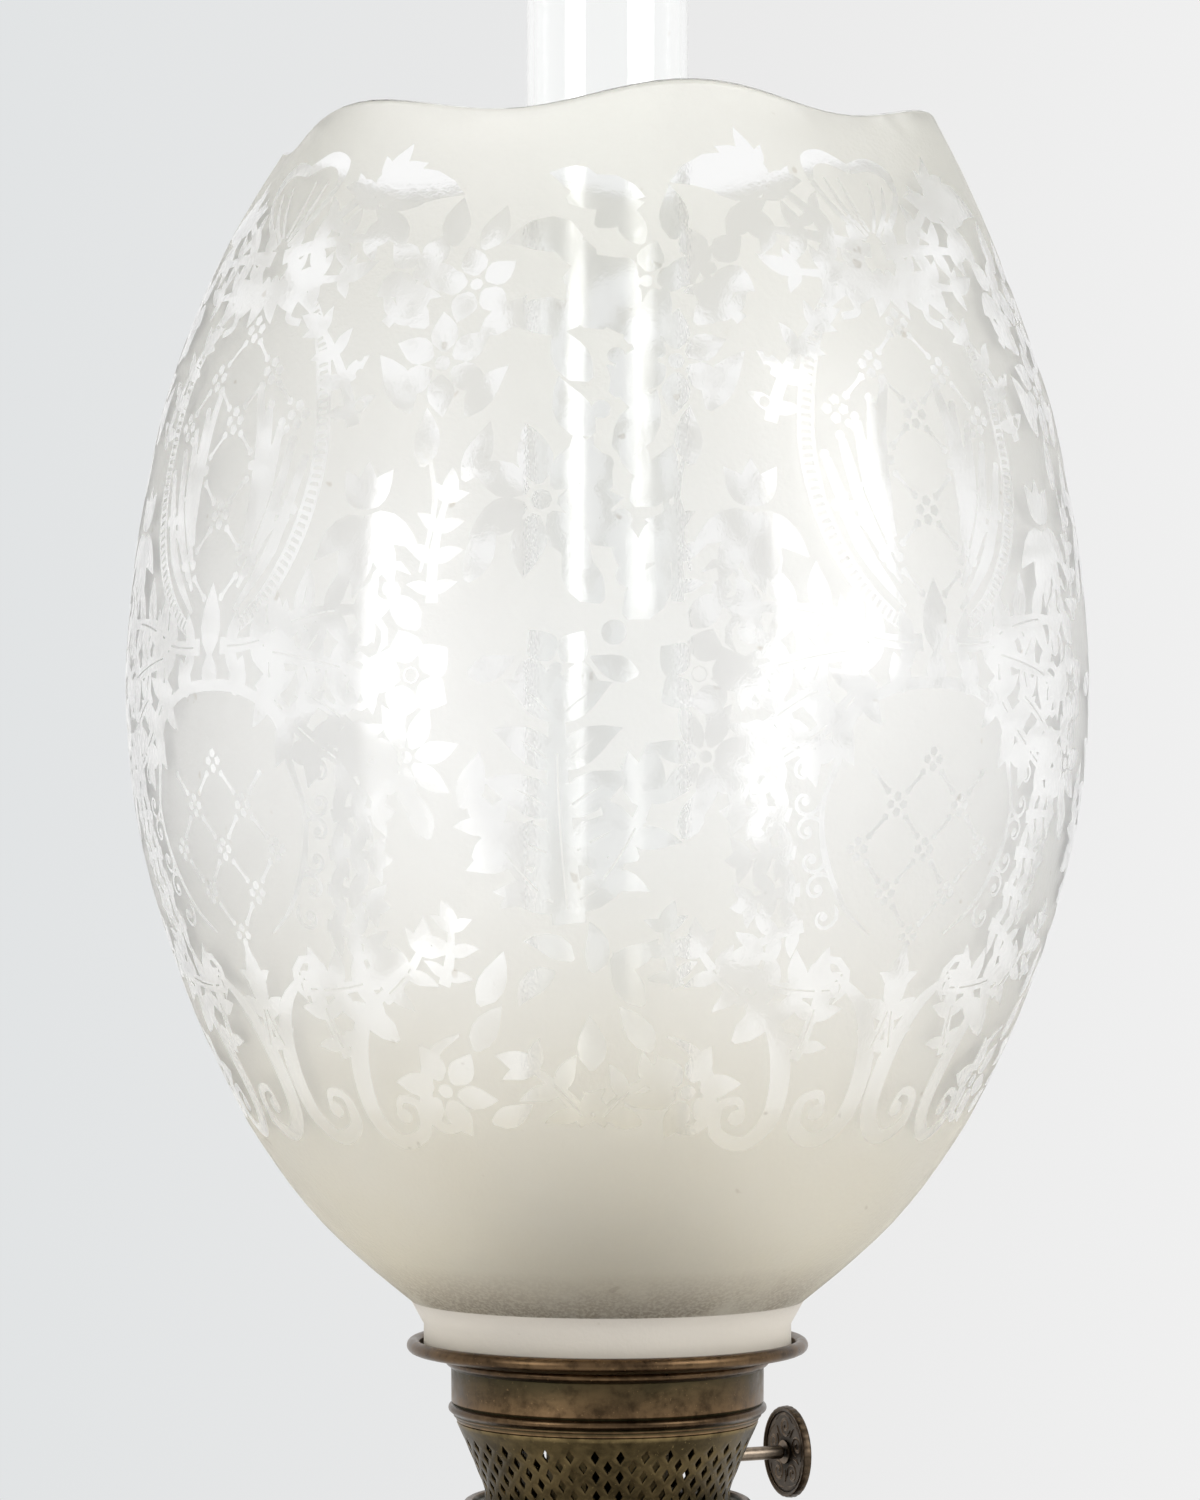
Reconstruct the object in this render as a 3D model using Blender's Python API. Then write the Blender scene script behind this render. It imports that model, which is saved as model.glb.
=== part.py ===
"""An oil lamp: an egg-shaped glass shade and a chimney on a round-wick burner, over a font, column and foot.

Metres, +Z up. The lamp stands on the plane z = 0, its axis is the Z axis, and its front faces -Y.
Every turned piece is a profile of (radius, height) pairs in millimetres, spun round that axis.
"""

import math

import bmesh
import bpy
from mathutils import Vector

MM = 0.001
GAP = 0.3  # between neighbouring pieces, mm

# Heights of the joints between pieces, mm above the table
FELT_TOP = 1.6
WEIGHT_TOP = 20.0
FOOT_TOP = 56.0
KNOP_TOP = 74.0
COLUMN_TOP = 178.0
FONT_BOTTOM = 200.0
FONT_SEAM = 247.0
FONT_TOP = 297.0
COLLAR_TOP = 309.0
FLANGE_TOP = 311.6
BASKET_TOP = 329.0
RING_Z = 345.0
CHIMNEY_FOOT = 338.6

# Radii, mm
FELT_RADIUS = 86.5
FOOT_RADIUS = 88.0
COLLAR_BORE = 21.3
FLANGE_RADIUS = 31.0
BASKET_WAIST = 25.4
BASKET_MOUTH = 32.3
BAND_RADIUS = 33.5
RING_RADIUS = 43.0
RING_ROLL = 1.45
ROD_RADIUS = 3.0
ROD_BORE = 3.5
NUT_DEPTH = 5.0

# Shade, mm above RING_Z
FITTER_RADIUS = 39.4
SHADE_FOOT = -1.0
SHADE_WALL = 2.2
SHADE_OUTLINE = (
    (39.4, 7.0), (49.5, 15.7), (59.1, 24.4), (72.9, 41.7), (86.6, 67.4), (98.3, 101.6),
    (103.1, 140.0), (98.0, 186.7), (84.7, 229.6), (76.4, 246.9), (70.0, 257.6),
)
RIM_LOBES = 6
RIM_CREST = math.radians(14.0)  # from the front, towards +X
RIM_WAVE_UP = 2.3
RIM_WAVE_OUT = 1.2
RIM_SLANT = 1.5  # the hand-cut mouth is this much higher on the right
RIM_WAVE_START = 205.0

# Chimney, mm above RING_Z
CHIMNEY_TOP = 300.0
CHIMNEY_BASE_RADIUS = 26.0
CHIMNEY_STACK_RADIUS = 17.5
CHIMNEY_WALL = 1.6

# Burner and its winder, mm
WICK_TUBE_TOP = 359.0
WICK_TUBE_RADIUS = 13.1
WICK_TUBE_WALL = 0.6
DRAFT_TUBE_RADIUS = 10.0
WICK_TOP = 360.5
WICK_TAIL = 212.0
SPINDLE_Z = RING_Z - 27.8
SPINDLE_TURN = math.radians(25.0)  # its direction in plan, from +X towards +Y
SPINDLE_OFFSET = 16.0  # from the lamp's axis, on the far side
SPINDLE_RADIUS = 1.5
WHEEL_RADIUS = 3.5
WHEEL_TEETH = 8
WHEEL_SPACING = 10.0
DISC_RADIUS = 10.2
DISC_THICKNESS = 1.8
DISC_ALONG = 50.6
BUSH_ALONG = 21.6  # where the spindle passes through the basket
BEARING_ALONG = -10.8

AXIS_DIRECTION = Vector((math.cos(SPINDLE_TURN), math.sin(SPINDLE_TURN), 0))
AXIS_FOOT = Vector((-math.sin(SPINDLE_TURN), math.cos(SPINDLE_TURN), 0)) * SPINDLE_OFFSET


def clear_scene():
    for obj in list(bpy.data.objects):
        bpy.data.objects.remove(obj)


def finish(name, colour, roughness, metallic=0.0, transmission=0.0):
    material = bpy.data.materials.new(name)
    material.use_nodes = True
    shader = material.node_tree.nodes["Principled BSDF"]
    shader.inputs["Base Color"].default_value = (*colour, 1)
    shader.inputs["Roughness"].default_value = roughness
    shader.inputs["Metallic"].default_value = metallic
    shader.inputs["Transmission Weight"].default_value = transmission
    return material


def curve_through(points, steps):
    """Points on a smooth curve through the given ones, each span cut into steps."""
    ends = [points[0], *points, points[-1]]
    found = [points[0]]
    for before, start, end, after in zip(ends, ends[1:], ends[2:], ends[3:]):
        for step in range(1, steps + 1):
            t = step / steps
            weights = (
                (-t + 2 * t**2 - t**3) / 2,
                (2 - 5 * t**2 + 3 * t**3) / 2,
                (t + 4 * t**2 - 3 * t**3) / 2,
                (t**3 - t**2) / 2,
            )
            four = (before, start, end, after)
            found.append(tuple(sum(w * p[axis] for w, p in zip(weights, four)) for axis in (0, 1)))
    return found


def arc(radius, height, size, start, end, steps):
    """Points on an arc of this size about (radius, height), from one angle to another in degrees."""
    angles = [math.radians(start + (end - start) * step / steps) for step in range(steps + 1)]
    return [(radius + size * math.cos(a), height + size * math.sin(a)) for a in angles]


def walled(outer, wall):
    """A closed profile: the outer line, and the same line moved inwards by the wall."""
    inner = []
    for index, (radius, height) in enumerate(outer):
        before = Vector(outer[max(index - 1, 0)])
        after = Vector(outer[min(index + 1, len(outer) - 1)])
        along = (after - before).normalized()
        inner.append((radius - wall * along.y, height + wall * along.x))
    return outer + inner[::-1]


def object_of(name, bm, material, parent=None):
    bmesh.ops.remove_doubles(bm, verts=bm.verts, dist=1e-6)
    bmesh.ops.recalc_face_normals(bm, faces=bm.faces)
    mesh = bpy.data.meshes.new(name)
    bm.to_mesh(mesh)
    bm.free()
    mesh.shade_smooth()
    mesh.set_sharp_from_angle(angle=math.radians(35))
    mesh.materials.append(material)
    obj = bpy.data.objects.new(name, mesh)
    bpy.context.scene.collection.objects.link(obj)
    obj.parent = parent
    return obj


def turned(name, profile, material, segments=28, z=0.0, parent=None):
    """A profile in mm spun round Z; the object's origin is on the axis at height z mm."""
    closed = min(radius for radius, _ in profile) > 0
    bm = bmesh.new()
    verts = [bm.verts.new((radius * MM, 0, (height - z) * MM)) for radius, height in profile]
    for first, second in zip(verts, verts[1:] + verts[:1] if closed else verts[1:]):
        bm.edges.new((first, second))
    bmesh.ops.spin(
        bm,
        geom=bm.verts[:] + bm.edges[:],
        cent=(0, 0, 0),
        axis=(0, 0, 1),
        angle=math.tau,
        steps=segments,
        use_merge=True,
    )
    obj = object_of(name, bm, material, parent)
    obj.location.z = z * MM
    return obj


def subtract(obj, cutter):
    cutter.hide_render = True
    cutter.display_type = "WIRE"
    boolean = obj.modifiers.new(cutter.name, "BOOLEAN")
    boolean.operation = "DIFFERENCE"
    boolean.object = cutter


def cut(obj, centre, size, turn=0.0):
    """Cuts a box, given in mm and turned about Z, out of an object."""
    bm = bmesh.new()
    bmesh.ops.create_cube(bm, size=MM)
    bmesh.ops.scale(bm, vec=size, verts=bm.verts)
    cutter = object_of(f"{obj.name}_cutter_{len(obj.modifiers) + 1}", bm, obj.data.materials[0])
    cutter.location = Vector(centre) * MM
    cutter.rotation_euler.z = turn
    subtract(obj, cutter)


def bore(obj, radius, low, high, parent=None):
    """Drills a hole about the Z axis of the lamp, or of the parent, between two heights in mm."""
    pin = [(0, low), (radius, low), (radius, high), (0, high)]
    subtract(obj, turned(f"{obj.name}_bore", pin, obj.data.materials[0], 16, parent=parent))


def make_foot(brass, iron, felt, steel):
    turned("foot_felt", [(12, 0), (FELT_RADIUS, 0), (FELT_RADIUS, FELT_TOP - GAP), (12, FELT_TOP - GAP)], felt)
    outline = [(FOOT_RADIUS - 1, FELT_TOP), (FOOT_RADIUS, 4), (FOOT_RADIUS, 8)]
    outline += arc(FOOT_RADIUS - 3, 10, 3, 10, 100, 3)
    outline += [(80, 13.5), (71, 18), (54, 25), (38, 34), (28, 45), (23, 54)]
    outline += [(22, FOOT_TOP), (8, FOOT_TOP)]
    inner = [(8, FOOT_TOP - 2), (20, 51), (26, 43), (36, 32), (52, 23), (70, 16), (83, 9), (FOOT_RADIUS - 2.5, FELT_TOP)]
    turned("foot_shell", outline + inner, brass, z=FELT_TOP)
    weight = [(ROD_BORE, 2), (78, 2), (78, 8), (66, 14), (50, 18), (34, WEIGHT_TOP), (ROD_BORE, WEIGHT_TOP)]
    turned("foot_weight", weight, iron, 24, z=2)
    rod = [(0, 4), (ROD_RADIUS, 4), (ROD_RADIUS, FONT_BOTTOM - 1), (0, FONT_BOTTOM - 1)]
    turned("tie_rod", rod, steel, 16, z=4)
    base = WEIGHT_TOP + GAP
    washer = [(ROD_BORE, base), (14, base), (14, base + 1.5), (ROD_BORE, base + 1.5)]
    turned("tie_washer", washer, steel, 24, z=base)
    bm = bmesh.new()
    bmesh.ops.create_cone(bm, cap_ends=True, segments=6, radius1=6.5 * MM, radius2=6.5 * MM, depth=NUT_DEPTH * MM)
    nut = object_of("tie_nut", bm, steel)
    nut.location.z = (WEIGHT_TOP + NUT_DEPTH / 2 + 2.1) * MM
    bore(nut, ROD_BORE, WEIGHT_TOP, WEIGHT_TOP + 10)


def make_stem(brass):
    base = FOOT_TOP + GAP
    knop = [(ROD_BORE, base), (18, base), (18, base + 1.5)]
    knop += arc(16, base + 8, 6, -75, 75, 6)
    knop += [(13, KNOP_TOP - 1.5), (13, KNOP_TOP), (ROD_BORE, KNOP_TOP)]
    turned("foot_knop", knop, brass, 28, z=base)
    base = KNOP_TOP + GAP
    column = [(ROD_BORE, base), (15, base), (15.5, base + 2), (14, base + 4)]
    column += curve_through([(10, base + 7), (11, base + 14), (18, base + 34), (16, base + 56)], 2)
    column += [(12, base + 74), (9.5, base + 90), (10, base + 96)]
    column += arc(11.5, base + 99.5, 2, -60, 60, 3)
    column += [(12, COLUMN_TOP), (ROD_BORE, COLUMN_TOP)]
    turned("column", column, brass, 28, z=base)
    base = COLUMN_TOP + GAP
    cup = [(ROD_BORE, base), (11, base), (11.5, base + 3)]
    cup += curve_through([(15, base + 6), (24, base + 11), (35, base + 20)], 2)
    cup += [(37, base + 22.5), (36, base + 24.5), (31, base + 19.5), (20, FONT_BOTTOM - 3), (ROD_BORE, FONT_BOTTOM - 3)]
    turned("font_cup", cup, brass, 28, z=base)


def make_font(brass):
    boss = [(ROD_BORE, FONT_BOTTOM - 2.7), (9, FONT_BOTTOM - 2.7), (9, FONT_BOTTOM - GAP), (ROD_BORE, FONT_BOTTOM - GAP)]
    turned("font_boss", boss, brass, 24, z=FONT_BOTTOM - 2.7)
    lower = [(0, FONT_BOTTOM), (16, FONT_BOTTOM)]
    lower += [(24, 200.8), (42, 207), (60, 218.5), (71.5, 233), (75.6, FONT_SEAM)]
    lower += [(74.4, FONT_SEAM), (70.2, 233.6), (59, 219.6), (41.4, 208.3), (23.8, 202.1), (0, FONT_BOTTOM + 1.3)]
    turned("font_lower", lower, brass, z=FONT_BOTTOM)
    seam = FONT_SEAM + GAP
    upper = [(75.6, seam), (73.5, 261), (65, 275), (49, 286), (34, 292), (24.5, 294.5)]
    inner = [(24.5, 293.2), (33.6, 290.7), (48.4, 284.7), (64, 273.9), (72.2, 260.6), (74.4, seam)]
    turned("font_upper", upper + inner, brass, z=seam)
    belt = [(76.0, FONT_SEAM - 5)]
    belt += arc(76.6, FONT_SEAM - 3.2, 1.8, -80, 80, 4)
    belt += arc(76.6, FONT_SEAM + 0.4, 1.8, -80, 80, 4)
    belt += [(76.0, FONT_SEAM + 3)]
    turned("font_belt", belt, brass, z=FONT_SEAM)
    collar = [(COLLAR_BORE, 293.2), (24, 293.2), (24, FONT_TOP - 1.8), (29, FONT_TOP - 1.5), (29, FONT_TOP)]
    collar += [(25.5, FONT_TOP + 2), (25.5, COLLAR_TOP - 1.5), (24.5, COLLAR_TOP), (COLLAR_BORE, COLLAR_TOP)]
    turned("font_collar", collar, brass, 32, z=FONT_TOP)


def make_burner(brass):
    tube_gap = WICK_TUBE_RADIUS + GAP
    plug = [(tube_gap, 294.5), (COLLAR_BORE - GAP, 294.5), (COLLAR_BORE - GAP, COLLAR_TOP), (tube_gap, COLLAR_TOP)]
    turned("burner_plug", plug, brass, 28, z=COLLAR_TOP)
    base = COLLAR_TOP + GAP
    flange = [(tube_gap, base), (28, base)]
    flange += arc(FLANGE_RADIUS - 1.3, base + 1.3, 1.3, -80, 120, 5)
    flange += [(27, FLANGE_TOP - 0.8), (tube_gap, FLANGE_TOP - 0.8)]
    turned("burner_flange", flange, brass, z=base)

    inner = WICK_TUBE_RADIUS - WICK_TUBE_WALL
    tube = [(inner, 296), (WICK_TUBE_RADIUS, 296), (WICK_TUBE_RADIUS, WICK_TUBE_TOP), (inner, WICK_TUBE_TOP)]
    outer_tube = turned("outer_wick_tube", tube, brass, 28, z=296)
    for side in (-0.5, 0.5):
        place = AXIS_FOOT + AXIS_DIRECTION * side * WHEEL_SPACING
        cut(outer_tube, (place.x, place.y, SPINDLE_Z), (3.2, 12, 9.5), SPINDLE_TURN)
    radius = DRAFT_TUBE_RADIUS
    draft = [(0, 300), (radius, 300), (radius, WICK_TUBE_TOP), (radius - 0.6, WICK_TUBE_TOP), (radius - 0.6, 301), (0, 301)]
    draft_tube = turned("inner_draft_tube", draft, brass, 28, z=300)
    for tube_object in (outer_tube, draft_tube):
        cut(tube_object, (0, -12, 317), (9, 14, 20))

    seat = CHIMNEY_FOOT - GAP
    gallery = [(18.5, seat - 0.9), (27.0, seat - 0.9), (27.0, 332.2), (32.4, 332.2), (32.4, 333)]
    gallery += [(27.9, 333), (27.9, seat), (27.7, 349), (28.6, 353), (27.9, 353.3), (26.9, 349), (27.0, seat)]
    crown = turned("chimney_gallery", [*gallery, (18.5, seat)], brass, 32, z=332.2)
    for index in range(4):
        cut(crown, (0, 0, 350), (64, 13, 20), math.radians(22.5 + 45 * index))


def make_basket(brass):
    """A lattice of diamonds, curved in to a waist, with a plain band above and below."""
    around, rows = 20, 5
    low, high = FLANGE_TOP - 0.5 + GAP, BASKET_TOP
    line = curve_through(
        [(BASKET_WAIST + 0.4, low), (BASKET_WAIST, low + 2.4), (27.1, low + 6.8), (29.4, low + 12.4), (BASKET_MOUTH - 0.6, high)],
        8,
    )

    def radius_at(height):
        for (r1, z1), (r2, z2) in zip(line, line[1:]):
            if height <= z2:
                return r1 + (r2 - r1) * (height - z1) / (z2 - z1)
        return line[-1][0]

    heights = [low + 1.6 + (high - low - 3.0) * row / (rows - 1) for row in range(rows)]
    bm = bmesh.new()

    def ring(height, shift):
        angles = [math.tau * (index + shift) / around for index in range(around)]
        radius = radius_at(height) * MM
        return [bm.verts.new((radius * math.cos(a), radius * math.sin(a), height * MM)) for a in angles]

    rings = [ring(height, 0.5 * (row % 2)) for row, height in enumerate(heights)]
    bottom, top = ring(low, 0), ring(high, 0)
    for index in range(around):
        after = (index + 1) % around
        bm.faces.new((bottom[index], bottom[after], rings[0][after], rings[0][index]))
        bm.faces.new((rings[-1][index], rings[-1][after], top[after], top[index]))
        bm.faces.new((rings[0][index], rings[0][after], rings[1][index]))
        bm.faces.new((rings[-1][after], rings[-1][index], rings[-2][index]))
    place = AXIS_FOOT + AXIS_DIRECTION * BUSH_ALONG
    bush = Vector((place.x, place.y, SPINDLE_Z)) * MM
    holes = []
    for row in range(rows - 2):
        for index in range(around):
            left = (index + row % 2 - 1) % around
            right = (left + 1) % around
            corners = (rings[row][index], rings[row + 1][right], rings[row + 2][index], rings[row + 1][left])
            face = bm.faces.new(corners)
            if (face.calc_center_median() - bush).length > 7.5 * MM:
                holes.append(face)
    bmesh.ops.recalc_face_normals(bm, faces=bm.faces)
    bmesh.ops.inset_individual(bm, faces=holes, thickness=1.3 * MM)
    bmesh.ops.delete(bm, geom=holes, context="FACES")
    obj = object_of("basket", bm, brass)
    solid = obj.modifiers.new("thickness", "SOLIDIFY")
    solid.thickness = 0.7 * MM
    solid.offset = -1
    cut(obj, (place.x, place.y, SPINDLE_Z), (16, 7.2, 7.2), SPINDLE_TURN)


def make_gallery(brass):
    wall = BAND_RADIUS - 0.8
    base = BASKET_TOP + GAP
    band = [(BASKET_MOUTH - 1.2, base), (BASKET_MOUTH, base), (BAND_RADIUS - 0.5, base + 0.8)]
    band += arc(BAND_RADIUS - 0.3, base + 2.4, 0.9, -70, 70, 4)
    band += [(BAND_RADIUS, base + 3.4), (BAND_RADIUS, RING_Z - 4.4)]
    band += arc(BAND_RADIUS + 0.3, RING_Z - 3.4, 0.9, -60, 90, 4)
    band += [(wall, RING_Z - 2.5), (wall, base + 2.5)]
    turned("gallery_band", band, brass, 32, z=base)
    roll = RING_RADIUS - RING_ROLL
    floor = RING_Z - 2.2
    ring = [(28.8, floor), (38.5, floor)]
    ring += arc(roll, RING_Z, RING_ROLL, -130, 150, 6)
    ring += [(39.9, RING_Z - 1.3), (28.8, RING_Z - 1.4)]
    turned("shade_ring", ring, brass, 36, z=floor)


def make_bearing(brass, axis):
    """The post on the flange that holds the spindle's inner end."""
    foot, top = FLANGE_TOP - 0.5, SPINDLE_Z + 3.2
    place = AXIS_FOOT + AXIS_DIRECTION * BEARING_ALONG
    bm = bmesh.new()
    bmesh.ops.create_cube(bm, size=MM)
    bmesh.ops.scale(bm, vec=(3.5, 6.4, top - foot), verts=bm.verts)
    post = object_of("spindle_bearing", bm, brass)
    post.location = Vector((place.x, place.y, (top + foot) / 2)) * MM
    post.rotation_euler.z = SPINDLE_TURN
    bore(post, SPINDLE_RADIUS + GAP, BEARING_ALONG - 5, BEARING_ALONG + 5, axis)


def make_winder(brass, aged, steel):
    axis = bpy.data.objects.new("winder_axis", None)
    bpy.context.scene.collection.objects.link(axis)
    axis.location = (AXIS_FOOT + Vector((0, 0, SPINDLE_Z))) * MM
    axis.rotation_mode = "QUATERNION"
    axis.rotation_quaternion = AXIS_DIRECTION.to_track_quat("Z", "Y")
    shaft = [(0, -13), (SPINDLE_RADIUS, -13), (SPINDLE_RADIUS, DISC_ALONG - GAP), (0, DISC_ALONG - GAP)]
    turned("winder_spindle", shaft, steel, 20, parent=axis)
    disc = [(0, DISC_ALONG), (2.6, DISC_ALONG), (2.6, DISC_ALONG + 0.5), (DISC_RADIUS - 1.4, DISC_ALONG + 0.6)]
    disc += [(DISC_RADIUS - 0.9, DISC_ALONG + 0.2), (DISC_RADIUS, DISC_ALONG + 0.5), (DISC_RADIUS, DISC_ALONG + 1.7)]
    disc += [(DISC_RADIUS - 0.5, DISC_ALONG + 2.0), (DISC_RADIUS - 1.5, DISC_ALONG + DISC_THICKNESS)]
    disc += [(2.5, DISC_ALONG + DISC_THICKNESS), (0, DISC_ALONG + DISC_THICKNESS + 0.6)]
    turned("winder_disc", disc, aged, 32, parent=axis)
    for name, along in (("wick_wheel_left", -0.5 * WHEEL_SPACING), ("wick_wheel_right", 0.5 * WHEEL_SPACING)):
        bm = bmesh.new()
        outline = []
        for tooth in range(2 * WHEEL_TEETH):
            radius = (WHEEL_RADIUS if tooth % 2 == 0 else WHEEL_RADIUS - 0.9) * MM
            turn = math.pi * tooth / WHEEL_TEETH
            outline.append(Vector((radius * math.cos(turn), radius * math.sin(turn), 0)))
        hole = [point.normalized() * (SPINDLE_RADIUS + GAP) * MM for point in outline]
        inner = [bm.verts.new(point) for point in hole]
        outer = [bm.verts.new(point) for point in outline]
        for index in range(len(outer)):
            after = (index + 1) % len(outer)
            bm.faces.new((inner[index], outer[index], outer[after], inner[after]))
        found = bmesh.ops.extrude_face_region(bm, geom=bm.faces[:])
        moved = [part for part in found["geom"] if isinstance(part, bmesh.types.BMVert)]
        bmesh.ops.translate(bm, vec=(0, 0, 1.8 * MM), verts=moved)
        wheel = object_of(name, bm, steel, axis)
        wheel.location.z = (along - 0.9) * MM
    bush = [(SPINDLE_RADIUS + GAP, 17.5), (3.2, 17.5), (3.2, 25.5), (SPINDLE_RADIUS + GAP, 25.5)]
    turned("spindle_bush", bush, brass, 20, parent=axis)
    make_bearing(brass, axis)


def make_wick(cotton):
    inner, outer = DRAFT_TUBE_RADIUS + GAP, WICK_TUBE_RADIUS - WICK_TUBE_WALL - GAP
    sleeve = [(inner, WICK_TAIL), (outer, WICK_TAIL), (outer, WICK_TOP), (inner, WICK_TOP)]
    wick = turned("wick", sleeve, cotton, 32, z=WICK_TOP)
    cut(wick, (0, -12, (WICK_TAIL + 328) / 2), (10, 12, 334 - WICK_TAIL))


def make_chimney(glass):
    base, stack = CHIMNEY_BASE_RADIUS, CHIMNEY_STACK_RADIUS
    foot = CHIMNEY_FOOT - RING_Z
    outline = [(base - 0.2, foot), (base, foot + 0.8), (base, 4)]
    outline += [(base, 14), (25.2, 24), (20, 33), (stack + 0.4, 40)]
    outline += [(stack, 50), (stack, 170), (stack, CHIMNEY_TOP)]
    profile = [(radius, height + RING_Z) for radius, height in walled(outline, CHIMNEY_WALL)]
    turned("chimney", profile, glass, 28, z=CHIMNEY_FOOT)


def make_shade(glass):
    outline = [(FITTER_RADIUS, SHADE_FOOT), *SHADE_OUTLINE]
    profile = [(radius, height + RING_Z) for radius, height in walled(outline, SHADE_WALL)]
    shade = turned("shade", profile, glass, 40, z=RING_Z + SHADE_FOOT)
    rim = SHADE_OUTLINE[-1][1]
    for vert in shade.data.vertices:
        height = vert.co.z / MM + SHADE_FOOT
        fade = min(max((height - RIM_WAVE_START) / (rim - RIM_WAVE_START), 0), 1) ** 2
        angle = math.atan2(vert.co.x, -vert.co.y)
        wave = math.cos(RIM_LOBES * (angle - RIM_CREST))
        radius = math.hypot(vert.co.x, vert.co.y)
        wider = 1 + fade * RIM_WAVE_OUT * wave * MM / radius
        vert.co.x *= wider
        vert.co.y *= wider
        vert.co.z += fade * (RIM_WAVE_UP * wave + RIM_SLANT * math.sin(angle)) * MM


def main():
    clear_scene()
    aged_brass = finish("aged_brass", (0.16, 0.12, 0.075), 0.42, 1.0)
    dark_bronze = finish("dark_bronze", (0.11, 0.085, 0.065), 0.48, 1.0)
    steel = finish("spindle_steel", (0.20, 0.16, 0.12), 0.45, 1.0)
    iron = finish("ballast_iron", (0.05, 0.05, 0.05), 0.8, 0.6)
    felt = finish("green_felt", (0.03, 0.07, 0.04), 0.95)
    cotton = finish("wick_cotton", (0.75, 0.68, 0.52), 0.95)
    clear_glass = finish("clear_glass", (0.97, 0.98, 0.97), 0.03, transmission=1.0)
    frosted_glass = finish("frosted_glass", (0.90, 0.92, 0.86), 0.45, transmission=0.85)
    make_foot(aged_brass, iron, felt, steel)
    make_stem(aged_brass)
    make_font(aged_brass)
    make_burner(aged_brass)
    make_basket(aged_brass)
    make_gallery(aged_brass)
    make_winder(aged_brass, dark_bronze, steel)
    make_wick(cotton)
    make_chimney(clear_glass)
    make_shade(frosted_glass)


main()
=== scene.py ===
# %% [markdown]
# # An oil lamp with an etched shade
#
# This lesson finishes a working model of an oil lamp. The model's solids are correct in size but plain:
# their curves are cut into few facets and they have one flat colour each. Here the pieces that show are
# made again with smooth curves, and every surface gets a material of its own.

# %% Read the frame
import bisect
import math

from collections import Counter

import bmesh
import bpy
from mathutils import Matrix, Vector
from mathutils.geometry import delaunay_2d_cdt


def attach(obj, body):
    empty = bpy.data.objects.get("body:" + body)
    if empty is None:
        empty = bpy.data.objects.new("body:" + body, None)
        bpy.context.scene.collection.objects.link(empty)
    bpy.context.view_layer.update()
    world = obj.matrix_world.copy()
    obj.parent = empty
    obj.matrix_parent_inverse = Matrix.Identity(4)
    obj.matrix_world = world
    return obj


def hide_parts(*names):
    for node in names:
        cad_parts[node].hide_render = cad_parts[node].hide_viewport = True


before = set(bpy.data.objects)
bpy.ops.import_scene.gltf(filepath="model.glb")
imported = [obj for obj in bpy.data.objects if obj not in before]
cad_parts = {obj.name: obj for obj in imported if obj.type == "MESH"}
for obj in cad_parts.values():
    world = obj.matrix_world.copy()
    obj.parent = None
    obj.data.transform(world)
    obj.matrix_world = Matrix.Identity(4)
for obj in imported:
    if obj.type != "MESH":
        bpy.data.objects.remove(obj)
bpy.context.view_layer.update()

MM = 0.001

# %% [markdown]
# ## Camera
#
# The lamp is seen from close by with a long lens, at the height of the shade's lower half. The camera looks
# up by a little over one degree, so the upright tube of the chimney still looks upright.

# %% Place the camera
RING_Z = 0.345  # middle of the rolled edge of the shade ring
EYE_HEIGHT = 0.450
DISTANCE = 0.972
PITCH = math.radians(1.318)
ASIDE = -0.0016
FOCAL_LENGTH = 108.5  # of the lens, in millimetres
camera_data = bpy.data.cameras.new("camera")
camera_data.lens = FOCAL_LENGTH
camera_data.sensor_width = 36
camera = bpy.data.objects.new("camera", camera_data)
camera.location = (ASIDE, -DISTANCE, EYE_HEIGHT)
camera.rotation_euler = (math.radians(90) + PITCH, 0, 0)
bpy.context.collection.objects.link(camera)
bpy.context.scene.camera = camera
bpy.context.scene.view_settings.view_transform = "Standard"
print("camera at", tuple(round(value, 3) for value in camera.location))

# %% [markdown]
# ## Studio
#
# Glass shows what stands round it, so the studio matters as much as the material. The world is pale for the
# camera; for light and reflections it is brighter behind the lamp than in front, as in a studio with a lit
# backdrop. Two soft boxes stand to the left and right in front, and a third hangs above. The floor fades out
# before its far edge, so no horizon shows behind the lamp. Materials, lights and world are all built from
# nodes, so a few helpers that add and link nodes come first.

# %% Helpers for shader nodes
def node_tree(owner):
    owner.use_nodes = True
    owner.node_tree.nodes.clear()
    return owner.node_tree


def add_node(tree, kind, inputs=(), **settings):
    """A shader node with its settings and input values; an input may be a socket to link from."""
    node = tree.nodes.new(kind)
    for name, value in settings.items():
        setattr(node, name, value)
    for name, value in dict(inputs).items():
        socket = node.inputs[name]
        if isinstance(value, bpy.types.NodeSocket):
            tree.links.new(value, socket)
        else:
            socket.default_value = value
    return node


def ramp(tree, factor, stops):
    """A colour ramp from (position, colour) stops; a single number stands for a grey."""
    node = add_node(tree, "ShaderNodeValToRGB", {"Fac": factor})
    elements = node.color_ramp.elements
    while len(elements) < len(stops):
        elements.new(0.5)
    for element, (position, colour) in zip(elements, stops):
        element.position = position
        element.color = (*colour, 1) if isinstance(colour, tuple) else (colour, colour, colour, 1)
    return node.outputs["Color"]


# %% [markdown]
# The world has two faces. Rays from the camera see a flat grey that grows lighter to the right. All other
# rays see a room: each stop below says how bright it is, from the wall behind the camera to the one behind
# the lamp.

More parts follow.
